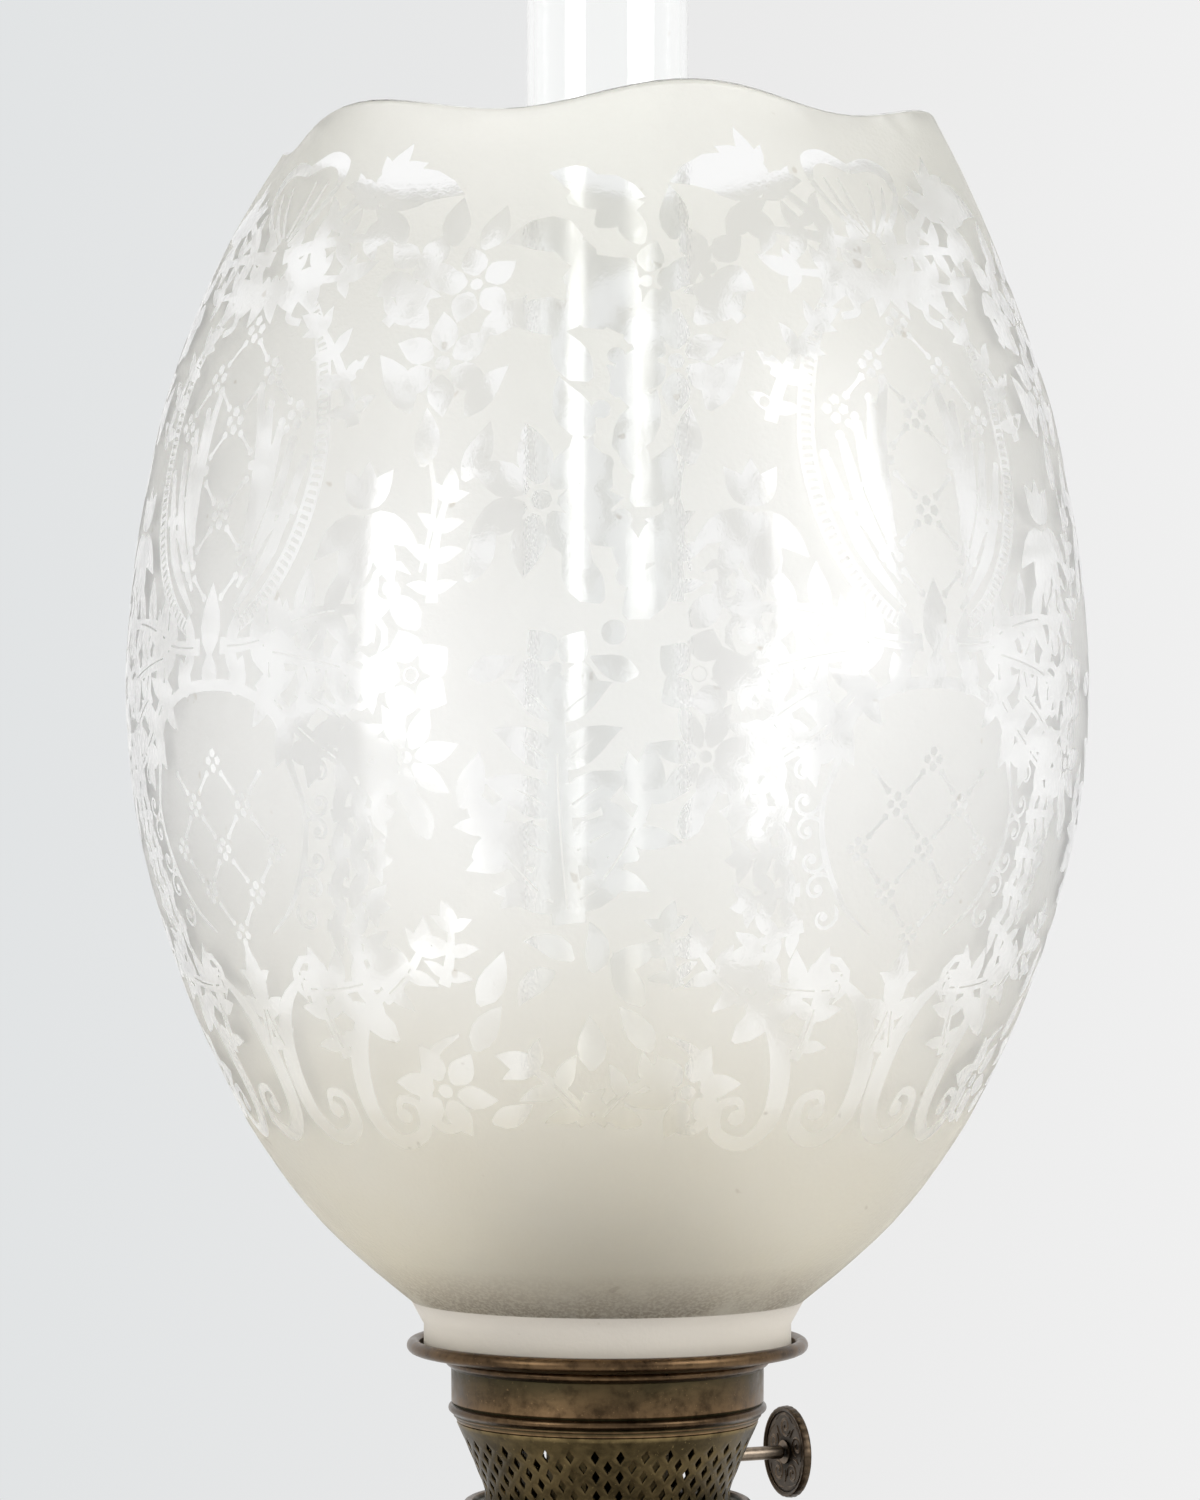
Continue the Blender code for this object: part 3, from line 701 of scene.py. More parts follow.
def winder_disc():
    """The disc, turned upright, with its milled edge and the scrolls on both faces, and then laid down."""
    face = [(0, 50.6), (2.6, 50.6), (2.6, 51.1)] + curve_through([(5.5, 51.15), (8.4, 51.05)], 3)
    face += [(8.8, 51.2), (9.0, 50.9)] + arc(9.6, 51.1, 0.5, -150, -20, 5)
    face += arc(9.75, 52.1, 0.45, 0, 120, 5) + [(9.2, 52.4), (8.8, 52.2)] + arc(2.6, 52.0, 0.4, 60, 120, 3)
    face += [(0, 52.9)]
    disc = outline_mesh("winder_disc_turned", face)
    edit(disc)
    bpy.ops.mesh.spin(steps=96, angle=math.tau, center=(0, 0, 0), axis=(0, 0, 1))
    close_edit(disc, 35)
    for vert in disc.data.vertices:
        radius = vert.co.xy.length / MM
        if radius > 9.9:
            turn = math.atan2(vert.co.y, vert.co.x)
            vert.co.xy *= 1 - RIDGE_DEPTH * (0.5 + 0.5 * math.cos(RIDGES * turn))
    scrolls = bmesh.new()
    for side, height in ((-1, 51.12), (1, 52.25)):
        for index in range(SCROLLS):
            spin = Matrix.Rotation(math.radians(360 / SCROLLS * index), 4, "Z")
            wound = [(x, y + 5.7) for x, y in spiral(2.4, 1.5, 200, 24)]
            widths = [0.3 + 0.5 * math.sin(math.pi * step / 24) for step in range(25)]
            arch = [(-3.6, 6.6), (-2.2, 7.7), (0.2, 8.4), (2.6, 8.0), (4.4, 6.6)]
            leaf_line = [(2.4, 3.2), (3.4, 4.2), (3.9, 5.4)]
            strokes = (
                tapered(wound, widths),
                tapered(arch, [0.1, 0.6, 0.7, 0.6, 0.1]),
                tapered(leaf_line, [0.2, 0.9, 0.1]),
            )
            for shape in strokes:
                low = [scrolls.verts.new(spin @ Vector((x * MM, y * MM, height * MM))) for x, y in shape]
                half = len(low) // 2
                lift = side * RELIEF * MM
                ridge = []
                for near, far in zip(low[:half], low[half:][::-1]):
                    ridge.append(scrolls.verts.new((near.co + far.co) / 2 + Vector((0, 0, lift))))
                for step in range(half - 1):
                    for one, two in ((low[step], low[step + 1]), (low[-1 - step], low[-2 - step])):
                        scrolls.faces.new((one, two, ridge[step + 1], ridge[step]))
                for end, tip in ((0, ridge[0]), (half - 1, ridge[-1])):
                    scrolls.faces.new((low[end], low[-1 - end], tip))
                for step in range(half - 1):
                    scrolls.faces.new((low[step], low[step + 1], low[-2 - step], low[-1 - step]))
    bmesh.ops.recalc_face_normals(scrolls, faces=scrolls.faces)
    scrolls.from_mesh(disc.data)
    for face in scrolls.faces:
        face.smooth = True
    scrolls.to_mesh(disc.data)
    scrolls.free()
    deselect()
    disc.select_set(True)
    bpy.context.view_layer.objects.active = disc
    bpy.ops.object.shade_smooth_by_angle(angle=math.radians(40))
    put(disc, LAY_DOWN)
    return disc


fit(winder_disc(), dark_bronze, "winder", "dark_bronze", "winder_disc")

# %% [markdown]
# The shaft is a plain steel rod. It ends at the disc's inner face, and runs in through the basket to both
# wheels.

# %% The shaft
shaft = [(0, -13), (1.2, -13), (1.5, -12.7), (1.5, 49.8), (1.2, 50.3), (0, 50.3)]
spindle = outline_mesh("winder_spindle_turned", shaft)
edit(spindle)
bpy.ops.mesh.spin(steps=40, angle=math.tau, center=(0, 0, 0), axis=(0, 0, 1))
close_edit(spindle)
put(spindle, LAY_DOWN)
fit(spindle, spindle_steel, "winder", "spindle_steel", "winder_spindle")

# %% [markdown]
# ## Wick and felt
#
# The wick is a flat woven cotton band rolled into a sleeve, charred at its lit edge. Felt under the foot
# keeps it from scratching the table. Both are cloth, so their finish is matte, with a fine thread or fibre
# relief.

# %% Cloth finishes
def cloth_finish(name, light, dark, scale, burnt=None):
    material = bpy.data.materials.new(name)
    tree = node_tree(material)
    place = add_node(tree, "ShaderNodeTexCoord").outputs["Object"]
    fibre = noise(tree, stretch(tree, place, scale), 1.0, 3, 0.7)
    colour = ramp(tree, fibre, [(0.32, dark), (0.68, light)])
    if burnt:
        height = add_node(tree, "ShaderNodeSeparateXYZ", {"Vector": place}).outputs["Z"]
        char = maths(tree, "MULTIPLY_ADD", maths(tree, "SUBTRACT", height, burnt), 400.0, 0.4, clamp=True)
        colour = blend(tree, char, colour, (0.02, 0.017, 0.014))
    values = {"Base Color": colour, "Roughness": 0.95, "Sheen Weight": 0.3}
    surface(tree, {**values, "Normal": bump(tree, fibre, 0.0004)})
    return material


wick_cotton = cloth_finish("wick_cotton", (0.66, 0.58, 0.43), (0.40, 0.34, 0.24), (1400, 1400, 700), 0.3585)
green_felt = cloth_finish("green_felt", (0.040, 0.100, 0.055), (0.015, 0.045, 0.025), (900, 900, 900))
sleeve = [(12.2, 212)] + arc(11.25, 359.55, 0.95, 0, 180, 6) + [(10.3, 212)]
wick = turned("wick", sleeve, wick_cotton, "wick", "wick_cotton", 96)
cut_box(wick, (0, -12, 270), (10, 12, 122))
felt_pad = [(12, 0), (86, 0), (86.5, 0.4), (86.5, 0.9), (86.1, 1.3), (12, 1.3)]
turned("foot_felt", felt_pad, green_felt, "base", "green_felt")

# %% [markdown]
# ## Pieces that hardly show
#
# The plain solids inside the burner and foot have the right shape already. They keep it, and take the
# finished materials through their material slots.

# %% Finish the hidden solids
hidden = (
    (olive_brass, ("burner_plug", "spindle_bush", "spindle_bearing")),
    (spindle_steel, ("wick_wheel_left", "wick_wheel_right", "tie_rod", "tie_nut", "tie_washer")),
    (ballast_iron, ("foot_weight",)),
    (aged_brass, ("font_boss",)),
)
for material, names in hidden:
    for name in names:
        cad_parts[name].material_slots[0].material = material
    print(material.name, "on", names)

# %% [markdown]
# ## Glass
#
# Both glasses are full solids with an inner and an outer face, because light bends at each. The chimney is
# clear and only a little dusty. The shade is frosted outside by acid; where wax kept the acid off, the
# glass stayed clear, and that is the ornament. Dust settles low in the shade and the flame's soot leaves a
# brown speckle.

# %% Dust on glass
DUST_ROUGHNESS = 0.35  # how much a full coat of dust adds to the roughness
dust_inputs = {"Glass": (0.97, 0.98, 0.97), "Dust": (0.80, 0.74, 0.62)}
dust_inputs.update({"Low": 0.35, "High": 0.42, "Most": 0.6, "Haze": 0.05})
glass_dust, given, result = new_group("glass dust", dust_inputs, FINISH)
place = add_node(glass_dust, "ShaderNodeTexCoord").outputs["Object"]
height = add_node(glass_dust, "ShaderNodeSeparateXYZ", {"Vector": place}).outputs["Z"]
settled = add_node(glass_dust, "ShaderNodeMapRange", {"Value": height, "To Min": 1.0, "To Max": 0.0})
settled.interpolation_type = "SMOOTHSTEP"
glass_dust.links.new(given["Low"], settled.inputs["From Min"])
glass_dust.links.new(given["High"], settled.inputs["From Max"])
drift = noise(glass_dust, place, 22, 3, 0.6)
patches = ramp(glass_dust, drift, [(0.3, 0.75), (0.65, 1.0)])
settled = maths(glass_dust, "MULTIPLY", settled.outputs["Result"], patches)
settled = maths(glass_dust, "MULTIPLY", settled, given["Most"], clamp=True)
colour = blend(glass_dust, settled, given["Glass"], given["Dust"])
specks = ramp(glass_dust, noise(glass_dust, place, 190, 2, 0.5), [(0.735, 0.0), (0.775, 0.5)])
colour = blend(glass_dust, specks, colour, (0.55, 0.48, 0.38))
film = noise(glass_dust, stretch(glass_dust, place, (1, 1, 0.35)), 40, 4, 0.6)
haze = maths(glass_dust, "MULTIPLY_ADD", maths(glass_dust, "SUBTRACT", film, 0.5), 0.12, given["Haze"])
haze = maths(glass_dust, "MULTIPLY_ADD", settled, DUST_ROUGHNESS, haze)
relief = noise(glass_dust, place, 900, 3, 0.6)
for label, value in {"Colour": colour, "Roughness": haze, "Height": relief}.items():
    glass_dust.links.new(value, result.inputs[label])
print("glass dust:", len(glass_dust.nodes), "nodes")

# %% [markdown]
# Every glass is a Principled shader whose colour and haze come from the group. Rough glass also scatters
# light back, which a transmission below one gives. On the shade a belt of soot lies just above the fitter,
# and near the mouth the rough glass is tinted darker as painted shade.

# %% Glass finishes
SOOT_LOW = RING_Z + 0.003
SOOT_HIGH = RING_Z + 0.022
# heights between which the rough glass is tinted darker, as painted shade
PAINTED_SHADE_LOW = RING_Z + 0.15
PAINTED_SHADE_HIGH = RING_Z + 0.26


def glass_finish(name, dust, grain, relief, transmission=1.0, soot_and_painted_shade=False):
    material = bpy.data.materials.new(name)
    tree = node_tree(material)
    dusty = use_group(tree, glass_dust, dust)
    colour = dusty["Colour"]
    if soot_and_painted_shade:
        place = add_node(tree, "ShaderNodeTexCoord").outputs["Object"]
        height = add_node(tree, "ShaderNodeSeparateXYZ", {"Vector": place}).outputs["Z"]
        level = {"Value": height, "From Min": SOOT_LOW, "From Max": SOOT_HIGH}
        level = add_node(tree, "ShaderNodeMapRange", level).outputs["Result"]
        belt = ramp(tree, level, [(0.06, 0.0), (0.20, 1.0), (0.50, 0.55), (0.9, 0.0)])
        streaks = noise(tree, stretch(tree, place, (1, 1, 0.8)), 34, 4, 0.65)
        soot = ramp(tree, streaks, [(0.40, 0.12), (0.56, 1.0)])
        crumbs = ramp(tree, noise(tree, place, 1300, 2, 0.6), [(0.42, 1.0), (0.62, 0.3)])
        soot = maths(tree, "MULTIPLY", maths(tree, "MULTIPLY", soot, belt), crumbs)
        colour = blend(tree, soot, colour, (0.30, 0.225, 0.14))
        if transmission < 1:  # painted shade: the rough glass gets a darker, yellower tint high up, towards the mouth
            level = {"Value": height, "From Min": PAINTED_SHADE_LOW, "From Max": PAINTED_SHADE_HIGH}
            level = add_node(tree, "ShaderNodeMapRange", level).outputs["Result"]
            painted_shade = ramp(tree, level, [(0.0, 1.0), (1.0, (0.86, 0.85, 0.79))])
            colour = blend(tree, 1.0, colour, painted_shade, "MULTIPLY")
    values = {"Base Color": colour, "Roughness": dusty["Roughness"], "IOR": 1.5}
    values["Transmission Weight"] = transmission
    surface(tree, {**values, "Normal": bump(tree, dusty["Height"], relief, grain)})
    return material


clear_dust = {"Glass": (0.985, 0.99, 0.987), "Low": 0.345, "High": 0.46, "Most": 0.35, "Haze": 0.03}
clear_glass = glass_finish("clear_glass", clear_dust, 0.3, 0.00001)
print("glass finish:", clear_glass.name)

# %% [markdown]
# ## Chimney
#
# A blown tube with a bulge at the flame and a long straight stack. Fire-polishing rounds both of its ends.
# A normal is blended along each face, so the stack's last step is short: the rounded end would otherwise
# bend the shading, and with it the light, far down the straight wall.

# %% Blow the chimney
CHIMNEY_WALL = 1.6


def above_ring(points):
    return [(radius, RING_Z / MM + height) for radius, height in points]


def walled(outer, wall):
    """The outer line, and the same line moved inwards by the wall, with a rounded top between them."""
    inner = []
    for index, (radius, height) in enumerate(outer):
        before, after = Vector(outer[max(index - 1, 0)]), Vector(outer[min(index + 1, len(outer) - 1)])
        along = (after - before).normalized()
        inner.append((radius - wall * along.y, height + wall * along.x))
    radius, height = outer[-1]
    top = []
    for turn in (0.6, 1.2, 1.9, 2.5):
        top.append((radius - wall * (0.5 - 0.5 * math.cos(turn)), height + 0.35 * wall * math.sin(turn)))
    return outer + top + inner[::-1]


tube = [(25.7, -6.4), (26, -5.8), (26, -5.0), (26, 4)]
tube += curve_through([(26, 14), (25.2, 24), (20, 33), (17.9, 40), (17.5, 50)], 8)
tube += [(17.5, 110), (17.5, 200), (17.5, 298.4), (17.5, 299.4)]
turned("chimney", above_ring(walled(tube, CHIMNEY_WALL)), clear_glass, "chimney", "clear_glass", 128, 60)

# %% [markdown]
# ## Shade
#
# The shade is blown in a mould, cut, and its mouth is melted into six soft waves. Its ornament has to be
# exact outlines in the glass itself, so the outer skin is drawn flat first: degrees round the shade go
# across, and the length along the glass goes up. Every leaf and dot is an outline on that sheet. A
# triangulation that must keep all of those outlines turns the sheet into faces, which are then wrapped onto
# the shade's curve. Faces inside the ornament get the clear finish and all others the frosted one.

# %% The curve of the shade
FITTER = [(39.4, -0.6), (39.4, 5.2), (40.4, 8.0), (43.6, 10.9)]
BODY = [(49.5, 15.7), (59.1, 24.4), (66.7, 33), (72.9, 41.7), (78.2, 50.2), (86.6, 67.4), (93.2, 84.6)]
BODY += [(98.3, 101.6), (101.6, 118.6), (103.1, 138), (102.6, 152.6), (100.95, 169.7), (98, 186.7)]
BODY += [(94.1, 203.8), (84.7, 229.6), (76.4, 246.9), (70, 257.6)]
WAVES = 6  # round the mouth
WAVE_FROM, MOUTH = 205, 257.6  # the heights between which the waves grow
WAVE_OUT, WAVE_UP, TILT = 1.2, 2.3, 1.5
WAVE_TURN = 14  # degrees from the front to the first crest
SHADE_WALL = 2.2
curve = curve_through(FITTER + BODY, 8)
lengths = [0.0]
for (r1, h1), (r2, h2) in zip(curve, curve[1:]):
    lengths.append(lengths[-1] + math.hypot(r2 - r1, h2 - h1))
neck = next(length for length, (radius, height) in zip(lengths, curve) if height >= 7)
lengths = [length - neck for length in lengths]
SKIN_LOW, SKIN_TOP = lengths[0], lengths[-1]


def on_curve(along):
    """(radius, height) at a length along the glass, measured from the top of the fitter."""
    index = min(max(bisect.bisect_right(lengths, along) - 1, 0), len(lengths) - 2)
    part = (along - lengths[index]) / (lengths[index + 1] - lengths[index])
    (r1, h1), (r2, h2) = curve[index], curve[index + 1]
    return r1 + (r2 - r1) * part, h1 + (h2 - h1) * part


def on_shade(degrees, along, depth=0.0):
    """The point of the shade at that place, depth millimetres under its outer skin."""
    radius, height = on_curve(along)
    (r1, h1), (r2, h2) = on_curve(along - 0.8), on_curve(along + 0.8)
    size = math.hypot(r2 - r1, h2 - h1)
    radius -= depth * (h2 - h1) / size
    height += depth * (r2 - r1) / size
    fade = min(max((height - WAVE_FROM) / (MOUTH - WAVE_FROM), 0), 1) ** 2
    wave = math.cos(WAVES * math.radians(degrees - WAVE_TURN))
    radius += fade * WAVE_OUT * wave
    angle = math.radians(degrees)
    height += fade * (WAVE_UP * wave + TILT * math.sin(angle)) + RING_Z / MM
    return Vector((radius * math.sin(angle), -radius * math.cos(angle), height)) * MM


print(f"the glass is {SKIN_TOP - SKIN_LOW:.0f} mm along its curve")

# %% [markdown]
# ### The pattern's vocabulary
#
# A Rococo pattern of this kind is made of few shapes: a pointed leaf, a tapered stroke that may wind into a
# scroll, a ring of petals, and a dot. An acanthus is a stroke with pairs of leaves. Each is an outline in
# millimetres, so it can be tried and changed alone; `paint` puts it on the sheet, beside each panel's
# middle and mirrored on its other side.

# %% Paint on the sheet
PANELS = (-51, 39)
GARLANDS = (-3, 87)
shapes = []


def paint(outline, centres=PANELS, mirrored=True, clear=True):
    """Adds an outline of (degrees, millimetres) to the sheet, once for each centre and each side."""
    for centre in centres:
        for side in (1, -1) if mirrored else (1,):
            shapes.append(([(centre + side * degrees, along) for degrees, along in outline], clear))


def at(outline, place, turn=0.0, size=1.0):
    """Turns an outline in millimetres, and moves it to (degrees, length along the glass)."""
    c, s = size * math.cos(math.radians(turn)), size * math.sin(math.radians(turn))
    placed = []
    for x, y in outline:
        along = place[1] + x * s + y * c
        placed.append((place[0] + math.degrees((x * c - y * s) / on_curve(along)[0]), along))
    return placed

print(f"{len(PANELS)} panels and {len(GARLANDS)} garlands on half of the shade")

# %% [markdown]
# The smallest motifs are a bent leaf, a dot and a stroke. A leaf and a dot are drawn in millimetres round
# (0, 0), and `at` puts them in their place. A stroke goes straight through points on the sheet.

# %% Leaves, dots and strokes
def bent_line(length, bend, steps):
    line, x, y = [], 0.0, 0.0
    for step in range(steps + 1):
        line.append((x, y))
        angle = math.radians(bend) * (step + 0.5) / steps
        x -= math.sin(angle) * length / steps
        y += math.cos(angle) * length / steps
    return line


def leaf(length, width, bend=0.0, steps=5):
    """A pointed leaf that grows upwards from (0, 0) and bends to the left."""
    parts = [n / steps for n in range(steps + 1)]
    widths = [width * (0.22 * (1 - t) + math.sin(math.pi * t**0.8)) for t in parts]
    widths[-1] = 0.02
    return tapered(bent_line(length, bend, steps), widths)


def dot(size, sides=8):
    turns = [math.tau * n / sides for n in range(sides)]
    return [(size * math.cos(turn), size * math.sin(turn)) for turn in turns]


STROKE_STEPS = 4


def swept(points, widths):
    """The outline of a smooth stroke through points in millimetres, with a width at each of them."""
    line = curve_through(points, STROKE_STEPS)
    sizes = []
    for n in range(len(line)):
        step = min(n // STROKE_STEPS, len(widths) - 2)
        part = n / STROKE_STEPS - step
        sizes.append(max(widths[step] + (widths[step + 1] - widths[step]) * part, 0.05))
    return tapered(line, sizes)


def stroke(points, widths, **how):
    """Paints a smooth stroke through (degrees, millimetres) points."""
    reach = math.radians(on_curve(sum(along for _, along in points) / len(points))[0])
    outline = swept([(degrees * reach, along) for degrees, along in points], widths)
    paint([(x / reach, y) for x, y in outline], **how)


print("a leaf has", len(leaf(10, 4)), "corners")

# %% [markdown]
# The larger motifs are made of those: an acanthus, a flower, a C-scroll and a curled tendril.

# %% Acanthus, flowers and scrolls
def moved(outline, place, turn):
    """Turns an outline and moves it, all in millimetres."""
    c, s = math.cos(math.radians(turn)), math.sin(math.radians(turn))
    return [(place[0] + x * c - y * s, place[1] + x * s + y * c) for x, y in outline]


VEINED_FROM = 11  # smaller leaves have no vein of their own


def acanthus(place, turn, length, width, lobes, bend=0.0, veined=True, **how):
    """Paints a broad stroke with pairs of leaves that lean towards its tip, parted by frosted veins."""
    steps = 3 * lobes + 3
    spine = bent_line(length, bend, steps)
    body = [width * (0.32 - 0.20 * n / steps) for n in range(steps + 1)]
    body[-1] = 0.05
    paint(at(tapered(spine, body), place, turn), **how)
    veins = [tapered(spine[1:-4], [0.4] * (steps - 4))]
    for lobe in range(lobes + 1):
        n = 1 + 3 * lobe
        t = n / steps
        for side in (-1, 1):
            size = width * (0.72 if lobe == 0 else 1.0 - 0.42 * t)
            grown = moved(leaf(size, size * 0.40, -34 * side), spine[n], bend * t - side * (56 - 22 * t))
            paint(at(grown, place, turn), **how)
            if size > VEINED_FROM:
                pairs = [(grown[k], grown[-1 - k]) for k in (1, 2, 3)]
                middle = [((a[0] + b[0]) / 2, (a[1] + b[1]) / 2) for a, b in pairs]
                veins.append(tapered(middle, [0.45, 0.4, 0.1]))
    tip = leaf(length / lobes * 0.9, width * 0.40, 24)
    paint(at(moved(tip, spine[-3], bend), place, turn), **how)
    if veined:
        for vein in veins:
            paint(at(vein, place, turn), clear=False, **how)


def flower(place, petals, size, width, turn=0.0, heart=0.16, **how):
    """Paints a ring of petals round a dot."""
    for petal in range(petals):
        grown = [(x, y + size * heart * 1.5) for x, y in leaf(size * (1 - heart), width, 14, 5)]
        paint(at(grown, place, turn + 360 * petal / petals), **how)
    paint(at(dot(size * heart), place), **how)


def volute(place, turn, size, width, flip=1, **how):
    """Paints a scroll shaped like the letter C, whose lower end winds up round an eye."""
    line = [(8, 36), (0.5, 28), (-2.4, 16), (-0.6, 4), (5.4, -1.2)]
    line += [(11.2, 2.6), (10.8, 8.8), (6.8, 9.6), (5.6, 6.2)]
    line = [(flip * x * size, y * size) for x, y in line]
    widths = [width * part for part in (0.15, 0.75, 1.0, 0.95, 0.8, 0.65, 0.5, 0.4, 0.2)]
    paint(at(swept(line, widths), place, turn), **how)
    eye = [(flip * 6.9 * size + x, 5.6 * size + y) for x, y in dot(width * 0.42)]
    paint(at(eye, place, turn), **how)


CURL_STEPS = 12


def curl(place, turn, size, turns, width, flip=1, **how):
    """Paints a thin tendril that winds into a spiral."""
    wound = spiral(size, turns * flip, steps=CURL_STEPS)
    widths = [0.1] + [width * (1 - 0.05 * n) for n in range(1, CURL_STEPS + 1)]
    paint(at(tapered(wound, widths), place, turn), **how)
    paint(at(dot(width * 0.9), place), **how)


# %% [markdown]
# ### The panels
#
# Each panel is a cartouche: a shell on top, a ribbed ribbon down each side, a trellis between them,
# feathered acanthus in its lower corners, and a second, smaller cartouche below that stands on C-scrolls.

# %% Trellis and ribbon
def trellis(low, high, inside, across, rise, size):
    """Paints a slanted net of short bars whose ends are dots, and four dots at each crossing."""
    for row in range(int((high - low) / rise) + 1):
        along = low + row * rise
        for column in range(4):
            degrees = (column + 0.5 * (row % 2)) * across
            if degrees > inside(along):
                continue
            mirrored = degrees > 0.01
            for x, y in dot(2.0 * size, 4):
                knot = [(x + a, y + b) for a, b in dot(1.3 * size, 5)]
                paint(at(knot, (degrees, along)), mirrored=mirrored)
            for side in (-1, 1):
                far = degrees + side * across / 2
                if far > inside(along + rise) + 2.5 or along + rise > high + 0.1:
                    continue
                dx, dy = (far - degrees) * math.radians(on_curve(along)[0]), rise
                bar = tapered([(dx * t, dy * t) for t in (0.30, 0.5, 0.70)], [0.9, 0.7, 0.9])
                paint(at(bar, (degrees, along)), mirrored=mirrored)
                for t in (0.29, 0.71):
                    knot = [(dx * t + x, dy * t + y) for x, y in dot(1.0 * size, 5)]
                    paint(at(knot, (degrees, along)), mirrored=mirrored)


def ribbon(points, width, ribs):
    """Paints a clear band with a row of frosted ribs across it."""
    stroke(points, [width * 0.8] + [width] * (len(points) - 2) + [width * 0.6])
    line = curve_through(points, ribs)
    reach = math.radians(on_curve(sum(along for _, along in points) / len(points))[0])
    for (x1, y1), (x2, y2) in list(zip(line, line[1:]))[1:-1]:
        turn = math.degrees(math.atan2(y2 - y1, (x2 - x1) * reach))
        bar = [(-0.40, -width * 0.25), (0.40, -width * 0.32), (0.40, width * 0.32), (-0.40, width * 0.25)]
        paint(at(bar, ((x1 + x2) / 2, (y1 + y2) / 2), turn), clear=False)


# %% [markdown]
# From here on the lines place motifs, from the foot of a panel's upper part to the shell on top of it, and
# then the lower part. Places are (degrees from the panel's middle, millimetres along the glass).

# %% The upper part of the panels
trellis(166, 228, lambda along: 2.5 + 12.0 * math.sin(math.pi * (along - 160) / 76), 11.6, 9.8, 0.95)
ribbon([(10.5, 228), (13.6, 219), (15.4, 206), (15.6, 193), (13.6, 180), (9.6, 169), (4.5, 162)], 3.8, 8)
stroke([(10.5, 228), (7.0, 231), (6.0, 226.5), (8.6, 225)], [3.0, 2.4, 1.8, 1.6])
for number in range(5):
    low_end, middle = (4.2 + 0.3 * number, 166 + 4.6 * number), (9.8 - 1.0 * number, 178 + 5.4 * number)
    stroke([low_end, middle, (13.4 - 2.3 * number, 195 + 4.0 * number)], [1.0, 3.2, 2.0])
    paint(at(dot(1.1), (13.6 - 2.3 * number, 195.8 + 4.0 * number)))

stroke([(8.4, 255.6), (8.0, 260.4), (4.6, 262.4), (0, 260.4)], [1.0, 3.6, 3.4, 2.4])
stroke([(8.4, 255.6), (5.6, 249.5), (1.4, 243)], [1.4, 1.6, 1.2])
stroke([(5.8, 257.0), (4.0, 250.5), (0.9, 244)], [0.4, 1.2, 1.0])
stroke([(3.0, 257.5), (2.0, 251.0), (0.4, 245)], [0.4, 1.0, 0.8])
acanthus((1.2, 240.5), -78, 27, 11, 3, -14, veined=False)
acanthus((8.0, 246), -58, 21, 8.5, 2, 24, veined=False)
acanthus((2.5, 236.5), -108, 22, 9, 2, 26, veined=False)
for number in range(4):
    paint(at(leaf(11.5 - number, 4.6, 22), (0.8 + 1.7 * number, 236.5), -176 + 17 * number))
crest = ((-64, 21, 8.4, -52), (-96, 17, 6.8, 30), (-30, 13, 6.4, -40), (58, 9, 4.6, 30))
for turn, length, width, bend in crest:
    paint(at(leaf(length, width, bend), (16.2, 252.5), turn))
print(len(shapes), "outlines with the upper part of the panels")

# %% [markdown]
# The lower part is feathered acanthus over a second cartouche. A loop sets an arch of leaves over the
# cartouche, and another lets small curls run down its side.

# %% The lower part of the panels
paint(at(leaf(15, 6), (0, 157)), mirrored=False)
acanthus((2.0, 159), -94, 22, 11, 2, 26)
acanthus((9.5, 160.5), -66, 28, 13, 3, -30)
acanthus((9.5, 157.5), -96, 30, 13, 3, -14)
acanthus((9.0, 152), -140, 38, 12.5, 4, 30)
acanthus((14.5, 150), -112, 22, 10, 2, -26)
for number in range(9):
    turn = math.radians(10 + 20 * number)
    place = (13.4 * math.cos(turn), 134 + 16 * math.sin(turn))
    paint(at(leaf(8.4, 4.8), place, math.degrees(turn) - 90), mirrored=False)
stroke([(13.2, 134), (11.2, 144.5), (6.0, 150), (0, 151.4)], [1.6, 2.2, 2.4, 2.4])
trellis(100, 143, lambda along: 1.5 + 10.5 * math.sin(math.pi * (along - 84) / 70), 9.6, 9.0, 0.78)
stroke([(13.2, 134), (14.6, 126), (13.6, 116), (10.2, 106), (6.0, 100.5)], [1.4, 1.0, 1.5, 1.0, 0.3])
for number in range(7):
    place = (17.2 + 1.2 * math.sin(number * 0.5) - 0.75 * number, 139 - 5.8 * number)
    curl(place, 200 - 12 * number, 3.3, 1.0, 1.0, -1 if number % 2 else 1)
for number in range(5):
    acanthus((19.4 - 1.0 * number, 132 - 7.4 * number), -66 - 9 * number, 12, 9, 2, -26, veined=False)
print(len(shapes), "outlines with the lower part of the panels")

# %% [markdown]
# The panel stands on three pairs of C-scrolls that get smaller towards its sides, with leaves between them.

# %% The scrolls under the panels
volute((2.4, 57), -6, 1.0, 4.6)
volute((15.0, 57), -10, 0.96, 4.4)
volute((24.5, 60), -16, 0.60, 3.0)
curl((11.4, 91), 240, 6.0, 1.3, 2.0, -1)
curl((20.8, 92), 290, 6.6, 1.3, 2.2)
acanthus((9.0, 89), -96, 24, 11, 3, 30)
acanthus((21.5, 87), -58, 18, 9, 2, 30)
acanthus((2.2, 74), 24, 20, 9, 2, -30)
acanthus((13.6, 74), 20, 20, 9, 2, -26)
paint(at(leaf(14, 5.4), (0, 84)), mirrored=False)
print(len(shapes), "outlines with the scrolls")

# %% [markdown]
# ### The flowers between the panels
#
# Beside each panel climbs a loose spray: a lily, a round flower and a star, with buds and narrow leaves.
# Between two sprays hangs a garland with a spiked blossom and a broad fan of acanthus.

